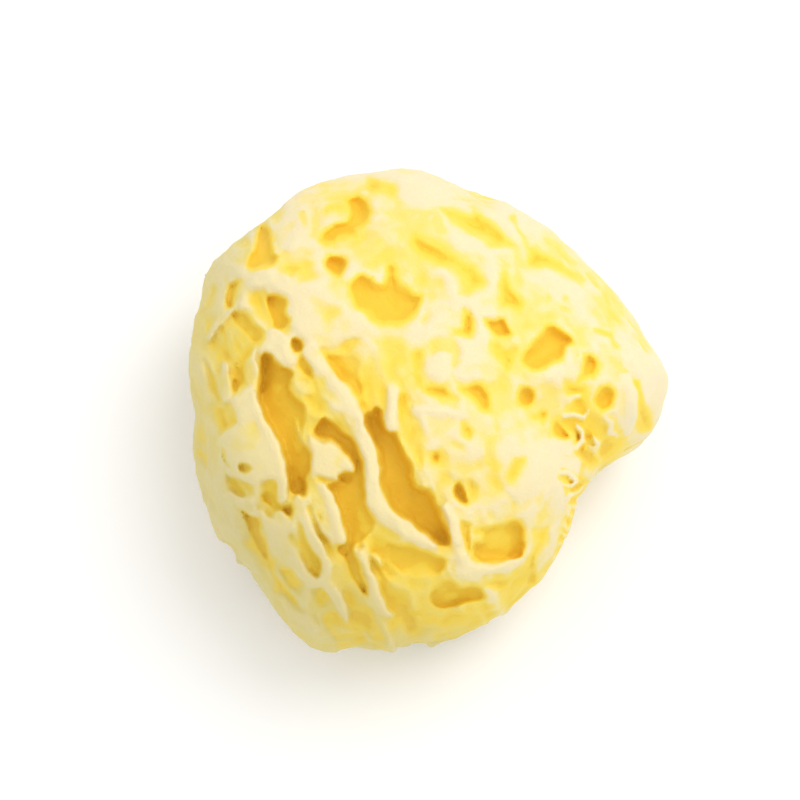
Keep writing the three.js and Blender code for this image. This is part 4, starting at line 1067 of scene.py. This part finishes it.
def sponge_field(pits, ridges, rasters, met):
    """The field of the finished form and that of the smooth outer form, both in millimetres."""
    outer = outer_field()
    field = outer.copy()
    for seed, (size, height) in enumerate(OUTER_NOISE):
        field -= height * noise(size, SEEDS["outer"] + seed)
    lower_left = lower_left_share()
    for seed, (size, low, high) in enumerate(CREASES):
        hollow = np.sqrt(noise(size, SEEDS["creases"] + seed) ** 2 + CREASE_ROUNDING ** 2) - CREASE_LEVEL
        field += hollow * (high + (low - high) * lower_left)
    for chain in ridges:
        where = part_of_grid(chain)
        field[where] = -smooth_max(-field[where], -nearest_section(chain, grid_points(where)), RIDGE_BLEND)
    for seed, (size, height) in enumerate(FINE_NOISE):
        field -= height * noise(size, SEEDS["fine"] + seed)
    skirt = np.clip((SKIRT_TOP - AXES[2]) / SKIRT_TOP, 0, 1)[None, None, :] * lower_left
    for seed, (size, height) in enumerate(SKIRT_NOISE):
        field -= height * skirt * noise(size, SEEDS["skirt"] + seed)
    carve(field, outer, rasters, met)
    field = np.maximum(field, -AXES[2][None, None, :])
    warp = []
    for axis in range(3):
        seed = SEEDS["warp"] + WARP_SEED_STEP * axis
        warp.append(sum(reach * noise(size, seed + k) for k, (size, reach) in enumerate(WARP)))
    warp = np.stack(warp, axis=-1)
    for chain in pits:
        where = part_of_grid(chain)
        p = grid_points(where) + warp[where]
        k = min(RIM_ROUNDING, chain["radius"].max())
        field[where] = smooth_max(field[where], -pit_distance(chain, p), k)
    return field, outer


# The mesh

MOST_FACES = 195000
BAND_CELLS = 3                  # how many cells either side of the surface keep their distances
FAR_CELLS = 4                   # the distance that stands for everywhere else
SMOOTHING_ROUNDS = 2
SMOOTHING = 0.35
BASE_SNAP = 0.25                # points lower than this are set on the cut underside


def mesh_of(field):
    """The quads of the form's surface, as points in millimetres and their numbers."""
    grid = openvdb.FloatGrid(FAR_CELLS * CELL)
    band = BAND_CELLS * CELL
    grid.copyFromArray(np.clip(field, -band, band).astype(np.float32))
    points, _, quads = grid.convertToPolygons(isovalue=0.0, adaptivity=0.0)
    return points.astype(float) * CELL + GRID_LOW, quads.astype(np.int64)


def edges_of(quads):
    return np.concatenate([quads[:, [k, (k + 1) % 4]] for k in range(4)])


def smoothed(points, quads):
    """Takes the steps of the grid out of the surface."""
    edges = edges_of(quads)
    count = np.bincount(edges.ravel(), minlength=len(points))
    for _ in range(SMOOTHING_ROUNDS):
        mean = np.stack([
            np.bincount(edges[:, 0], points[edges[:, 1], k], len(points))
            + np.bincount(edges[:, 1], points[edges[:, 0], k], len(points)) for k in range(3)
        ], axis=-1) / count[:, None]
        points = points + (mean - points) * SMOOTHING
    low = points[:, 2] < BASE_SNAP
    points[low, 2] = 0
    return points


def largest_part(points, quads):
    """Drops specks that aren't joined to the sponge."""
    label = np.arange(len(points))
    edges = edges_of(quads)
    while True:
        least = label.copy()
        np.minimum.at(least, edges[:, 0], label[edges[:, 1]])
        np.minimum.at(least, edges[:, 1], label[edges[:, 0]])
        least = least[least]
        if (least == label).all():
            break
        label = least
    main = np.bincount(label).argmax()
    return quads[label[quads[:, 0]] == main]


def new_object(name, points, faces):
    mesh = bpy.data.meshes.new(name)
    mesh.from_pydata([], [], [])
    mesh.vertices.add(len(points))
    mesh.vertices.foreach_set("co", np.asarray(points, np.float32).ravel())
    side = faces.shape[1]
    mesh.loops.add(faces.size)
    mesh.loops.foreach_set("vertex_index", faces.astype(np.int32).ravel())
    mesh.polygons.add(len(faces))
    mesh.polygons.foreach_set("loop_start", np.arange(0, faces.size, side, dtype=np.int32))
    mesh.polygons.foreach_set("use_smooth", np.ones(len(faces), bool))
    mesh.update(calc_edges=True)
    mesh.validate()
    made = bpy.data.objects.new(name, mesh)
    bpy.context.collection.objects.link(made)
    return made


def reduce_faces(piece, most):
    """Collapses edges until the piece has no more than so many triangles."""
    triangles = sum(len(p.vertices) - 2 for p in piece.data.polygons)
    reducer = piece.modifiers.new("reducer", "DECIMATE")
    reducer.ratio = min(1.0, most / triangles)
    reducer.use_collapse_triangulate = True
    evaluated = piece.evaluated_get(bpy.context.evaluated_depsgraph_get())
    reduced = bpy.data.meshes.new_from_object(evaluated)
    piece.modifiers.clear()
    old = piece.data
    piece.data = reduced
    bpy.data.meshes.remove(old)
    piece.data.polygons.foreach_set("use_smooth", np.ones(len(piece.data.polygons), bool))


def sampled(values, points):
    """Values of the grid at points in millimetres."""
    place = (points - GRID_LOW) / CELL
    low = np.clip(np.floor(place).astype(int), 0, np.array(GRID_SHAPE) - 2)
    t = place - low
    total = 0
    for corner in range(8):
        bits = np.array([corner & 1, corner >> 1 & 1, corner >> 2 & 1])
        i, j, k = (low + bits).T
        weight = np.prod(np.where(bits, t, 1 - t), axis=1)
        total = total + values[i, j, k] * weight
    return total


def blurred(values, cells):
    """The mean of the values within so many cells each way."""
    for axis in range(3):
        spare = [(cells + 1, cells) if a == axis else (0, 0) for a in range(3)]
        padded = np.pad(values, spare, mode="edge")
        sums = np.cumsum(padded, axis=axis, dtype=np.float64)
        n = values.shape[axis]
        width = 2 * cells + 1
        values = ((np.take(sums, np.arange(width, n + width), axis=axis)
                   - np.take(sums, np.arange(n), axis=axis)) / width).astype(np.float32)
    return values


CUP_REACH = 4                   # cells each way that are looked at to see how hollow a place is, for its painted shade
CREST_LIFT = 1.2                # how far above the smooth outer form the hollow share starts
HOLLOW_REACH = 3.4              # the depth by which most of the colour has changed


def add_depths(piece, field, outer, rasters, met):
    """Stores on each vertex how low it lies, from 0 on the crests towards 1 in the deepest holes, and how
    much of what is around it is sponge. The material colours by both, partly as painted shade in the
    hollows."""
    count = len(piece.data.vertices)
    points = np.empty(count * 3, np.float32)
    piece.data.vertices.foreach_get("co", points)
    points = points.reshape(-1, 3) / MM
    laid, dug = laid_depths(points, rasters, met)
    depth = np.maximum(CREST_LIFT - sampled(outer, points) + laid - dug, 0)
    hollow = 1 - np.exp(-depth / HOLLOW_REACH)
    # How enclosed each place is, which the material turns into painted shade.
    cup = sampled(blurred(blurred((field < 0).astype(np.float32), CUP_REACH), CUP_REACH), points)
    for name, values in (("hollow", hollow), ("cup", cup)):
        attribute = piece.data.attributes.new(name, "FLOAT", "POINT")
        attribute.data.foreach_set("value", values.astype(np.float32))


# Materials

def new_material(name):
    material = bpy.data.materials.new(name)
    material.use_nodes = True
    return material, material.node_tree.nodes, material.node_tree.links


# Colours by how low a place lies, from the crests to the deepest holes: place on the ramp and colour.
# The darker, deeper golden towards the holes is partly the sponge's own colour and partly painted shade.
SPONGE_COLOURS = [
    (0.10, (0.860, 0.750, 0.480)),
    (0.30, (0.865, 0.745, 0.460)),
    (0.43, (0.875, 0.735, 0.330)),
    (0.55, (0.895, 0.720, 0.200)),
    (0.71, (0.930, 0.705, 0.115)),
    (0.84, (0.940, 0.685, 0.080)),
    (0.93, (0.925, 0.665, 0.065)),
    (1.00, (0.900, 0.600, 0.050)),
]


def set_inputs(node, values):
    for name, value in values.items():
        node.inputs[name].default_value = value


def ramp(nodes, stops):
    made = nodes.new("ShaderNodeValToRGB")
    made.color_ramp.interpolation = "EASE"
    for place, colour in stops[1:-1]:
        made.color_ramp.elements.new(place)
    for element, (place, colour) in zip(made.color_ramp.elements, stops):
        element.position = place
        element.color = (*colour, 1)
    return made


def math_node(nodes, links, operation, *inputs):
    made = nodes.new("ShaderNodeMath")
    made.operation = operation
    for socket, value in zip(made.inputs, inputs):
        if isinstance(value, (int, float)):
            socket.default_value = value
        else:
            links.new(value, socket)
    return made.outputs[0]


def map_range(nodes, links, value, low, high, to_low, to_high):
    made = nodes.new("ShaderNodeMapRange")
    made.interpolation_type = "SMOOTHSTEP"
    links.new(value, made.inputs["Value"])
    set_inputs(made, {"From Min": low, "From Max": high, "To Min": to_low, "To Max": to_high})
    return made.outputs["Result"]


def noise_texture(nodes, links, place, size_mm, detail=2.0, roughness=0.5):
    made = nodes.new("ShaderNodeTexNoise")
    set_inputs(made, {"Scale": 1 / (size_mm * MM), "Detail": detail, "Roughness": roughness})
    links.new(place, made.inputs["Vector"])
    return made.outputs["Fac"]


# Painted shade: the colours of crests and those of hollows are multiplied darker towards the lower left,
# where the light is weaker. The places are in millimetres along the way.
CREST_SHADE = (0.94, 0.92, 0.68, 1)
HOLLOW_SHADE = (0.88, 0.88, 0.80, 1)
SHADE_WAY = (-0.60, -0.62, -0.45)
SHADE_PLACES = (-60.0, 32.0)
# Painted shade towards the lower left and the left edge: all colours are darkened further and come closer
# to one dull tone there: way, places, shade, tone.
SHADED_EDGES = [
    ((-0.60, -0.74, -0.36), (12.0, 50.0), (0.78, 0.80, 1.00, 1), (0.70, 0.60, 0.24, 1)),
    ((-0.95, 0.05, -0.30), (16.0, 44.0), (0.86, 0.90, 0.96, 1), (0.73, 0.61, 0.27, 1)),
]
EDGE_SHADE_TONE_SHARE = 0.6           # how close to that tone the colours at the very edge come
DEEP_EDGE_SHARE = 0.25          # how much of the edge's change deep hollows take
DEEP_FROM, DEEP_TO = 0.62, 0.90     # the hollow share from and to which a hollow counts as deep
SHADE_BLEND_FROM, SHADE_BLEND_TO = 0.35, 0.85     # and from and to which the shade of crests gives way to that of hollows
# Painted shade in enclosed places: how much the sponge around a place changes its hollow share.
CUP_FROM, CUP_TO = 0.38, 0.66
CUP_CHANGE = (-0.10, 0.16)
# Patches and mottles of the colour: size, and the least and greatest change of the hollow share. They are
# reached at the low and the high values of their texture.
PATCHES = (16, -0.06, 0.08)
MOTTLES = (4, -0.04, 0.04)
TEXTURE_LOW, TEXTURE_HIGH = 0.3, 0.7
# The fine fibres and the grain of the skin, as bumps: size, detail and roughness, or only size and detail.
FIBRES = (0.9, 3.0, 0.6)
GRAIN = (2.6, 2.0)
GRAIN_WEIGHT = 1.5              # how much the grain counts beside the fibres
BUMP_STRENGTH = 0.5
BUMP_HEIGHT = 0.4
SKIN_ROUGHNESS = 0.72
SKIN_SPECULAR = 0.3
# Light that enters the skin: its share, how far it spreads, and the shares of that for red, green and blue.
SCATTER_SHARE = 0.3
SCATTER_DEPTH = 2.2
SCATTER_COLOURS = (1.0, 0.65, 0.25)


def place_along(nodes, links, place, way, places):
    """How far a place lies from the first to the second of two places along a way, from 0 to 1."""
    made = nodes.new("ShaderNodeVectorMath")
    made.operation = "DOT_PRODUCT"
    links.new(place, made.inputs[0])
    made.inputs[1].default_value = way
    return map_range(nodes, links, made.outputs["Value"], places[0] * MM, places[1] * MM, 0.0, 1.0)


def mixed(nodes, links, blend, factor, a, b):
    made = nodes.new("ShaderNodeMix")
    made.data_type = "RGBA"
    made.blend_type = blend
    links.new(factor, made.inputs["Factor"])
    for socket, colour in zip((made.inputs["A"], made.inputs["B"]), (a, b)):
        if isinstance(colour, tuple):
            socket.default_value = colour
        else:
            links.new(colour, socket)
    return made.outputs["Result"]


def sponge_material():
    material, nodes, links = new_material("sponge_skin")
    shader = nodes["Principled BSDF"]
    place = nodes.new("ShaderNodeTexCoord").outputs["Object"]
    low = nodes.new("ShaderNodeAttribute")
    low.attribute_name = "hollow"
    cup = nodes.new("ShaderNodeAttribute")
    cup.attribute_name = "cup"
    # Painted shade: darker, deeper golden where sponge encloses a place, paler where it stands out.
    painted_cup_shade = map_range(nodes, links, cup.outputs["Fac"], CUP_FROM, CUP_TO, *CUP_CHANGE)
    hollow = math_node(nodes, links, "ADD", low.outputs["Fac"], painted_cup_shade)
    for size, *change in (PATCHES, MOTTLES):
        texture = noise_texture(nodes, links, place, size)
        by_texture = map_range(nodes, links, texture, TEXTURE_LOW, TEXTURE_HIGH, *change)
        hollow = math_node(nodes, links, "ADD", hollow, by_texture)
    # The ramp's darker, deeper golden in the hollows is partly the sponge's own colour, partly painted
    # shade.
    colours = ramp(nodes, SPONGE_COLOURS)
    links.new(hollow, colours.inputs["Fac"])
    # Painted shade towards the lower left, multiplied into the colours.
    low_share = map_range(nodes, links, hollow, SHADE_BLEND_FROM, SHADE_BLEND_TO, 0.0, 1.0)
    painted_shade_colour = mixed(nodes, links, "MIX", low_share, CREST_SHADE, HOLLOW_SHADE)
    shaded = place_along(nodes, links, place, SHADE_WAY, SHADE_PLACES)
    colour = mixed(nodes, links, "MULTIPLY", shaded, colours.outputs["Color"], painted_shade_colour)
    # Painted shade, darker and duller, towards the lower left and the left edge; deep hollows take less of
    # it.
    shallow = map_range(nodes, links, hollow, DEEP_FROM, DEEP_TO, 1.0, DEEP_EDGE_SHARE)
    for way, places, shade, tone in SHADED_EDGES:
        at_edge = math_node(nodes, links, "MULTIPLY", place_along(nodes, links, place, way, places), shallow)
        colour = mixed(nodes, links, "MULTIPLY", at_edge, colour, shade)
        shade_toned = math_node(nodes, links, "MULTIPLY", at_edge, EDGE_SHADE_TONE_SHARE)
        colour = mixed(nodes, links, "MIX", shade_toned, colour, tone)
    links.new(colour, shader.inputs["Base Color"])
    set_inputs(shader, {
        "Roughness": SKIN_ROUGHNESS, "Specular IOR Level": SKIN_SPECULAR,
        "Subsurface Weight": SCATTER_SHARE, "Subsurface Radius": SCATTER_COLOURS,
        "Subsurface Scale": SCATTER_DEPTH * MM,
    })
    fine = noise_texture(nodes, links, place, *FIBRES)
    grain = noise_texture(nodes, links, place, *GRAIN)
    weighed = math_node(nodes, links, "MULTIPLY", grain, GRAIN_WEIGHT)
    height = math_node(nodes, links, "ADD", fine, weighed)
    bump = nodes.new("ShaderNodeBump")
    set_inputs(bump, {"Strength": BUMP_STRENGTH, "Distance": BUMP_HEIGHT * MM})
    links.new(height, bump.inputs["Height"])
    links.new(bump.outputs["Normal"], shader.inputs["Normal"])
    return material


FLOOR_TONES = (0.97, 0.99)
FLOOR_PATCHES = (60, 1.0)       # size and detail of its mottled tone
FLOOR_ROUGHNESS = 0.8


def floor_material():
    material, nodes, links = new_material("floor_white")
    shader = nodes["Principled BSDF"]
    place = nodes.new("ShaderNodeTexCoord").outputs["Object"]
    tone = nodes.new("ShaderNodeMapRange")
    links.new(noise_texture(nodes, links, place, *FLOOR_PATCHES), tone.inputs["Value"])
    set_inputs(tone, {"To Min": FLOOR_TONES[0], "To Max": FLOOR_TONES[1]})
    combine = nodes.new("ShaderNodeCombineColor")
    for socket in ("Red", "Green", "Blue"):
        links.new(tone.outputs["Result"], combine.inputs[socket])
    links.new(combine.outputs["Color"], shader.inputs["Base Color"])
    shader.inputs["Roughness"].default_value = FLOOR_ROUGHNESS
    return material


# The sponge

for across, up, radius, lift in SWELLINGS:
    swellings.append((seen_at([(across, up)])[0], radius, lift))
pits = side_pits(laid_places()) + canals()
rasters, met = (relief(False), relief(True)), first_distances()
field, outer = sponge_field(pits, laid_ridges(), rasters, met)

points, quads = mesh_of(field)
quads = largest_part(points, quads)
points = smoothed(points, quads)
sponge = new_object("sponge_body", points * MM, quads)
bpy.ops.object.select_all(action="DESELECT")
bpy.context.view_layer.objects.active = sponge
sponge.select_set(True)
reduce_faces(sponge, MOST_FACES)
add_depths(sponge, field, outer, rasters, met)
sponge.data.materials.clear()
sponge.data.materials.append(sponge_material())
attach(sponge, "root")
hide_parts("sponge")


# The floor, the light and the camera

FLOOR_SIZE = 8.0
LENS = 90.0
SENSOR_WIDTH = 36
PICTURE_MIDDLE = (-6.0, 4.5)    # where the middle of the picture lies in the layout
# The lights: name, place, size, power and colour.
LIGHTS = [
    ("key", (0.42, 0.30, 1.05), 0.7, 4.0, (1.0, 0.985, 0.96)),
    ("fill", (-0.1, -0.3, 1.2), 0.9, 0.8, (1.0, 0.99, 0.97)),
]
WORLD_STRENGTH = 0.9


def add_floor():
    half = FLOOR_SIZE / 2
    corners = np.array([(-half, -half, 0), (half, -half, 0), (half, half, 0), (-half, half, 0)])
    floor = new_object("floor", corners, np.array([[0, 1, 2, 3]]))
    floor.data.materials.append(floor_material())


def add_area_light(name, place, size, power, colour):
    light = bpy.data.lights.new(name, "AREA")
    light.shape = "DISK"
    light.size = size
    light.energy = power
    light.color = colour
    made = bpy.data.objects.new(name, light)
    made.location = place
    aim = Vector((0, 0, EQUATOR * MM)) - made.location
    made.rotation_euler = aim.to_track_quat("-Z", "Y").to_euler()
    bpy.context.collection.objects.link(made)


def add_camera():
    camera = bpy.data.cameras.new("camera")
    camera.sensor_width = SENSOR_WIDTH
    camera.lens = LENS
    made = bpy.data.objects.new("camera", camera)
    made.location = Vector(EYE * MM)
    aim = (LAYOUT_MIDDLE + ACROSS * PICTURE_MIDDLE[0] + UP * PICTURE_MIDDLE[1]) * MM
    made.rotation_euler = (Vector(aim) - made.location).to_track_quat("-Z", "Y").to_euler()
    bpy.context.collection.objects.link(made)
    bpy.context.scene.camera = made


def add_world():
    world = bpy.data.worlds.new("studio")
    world.use_nodes = True
    set_inputs(world.node_tree.nodes["Background"], {"Color": (1, 1, 1, 1), "Strength": WORLD_STRENGTH})
    bpy.context.scene.world = world


add_floor()
for light in LIGHTS:
    add_area_light(*light)
add_camera()
add_world()
bpy.context.scene.view_settings.view_transform = "Standard"
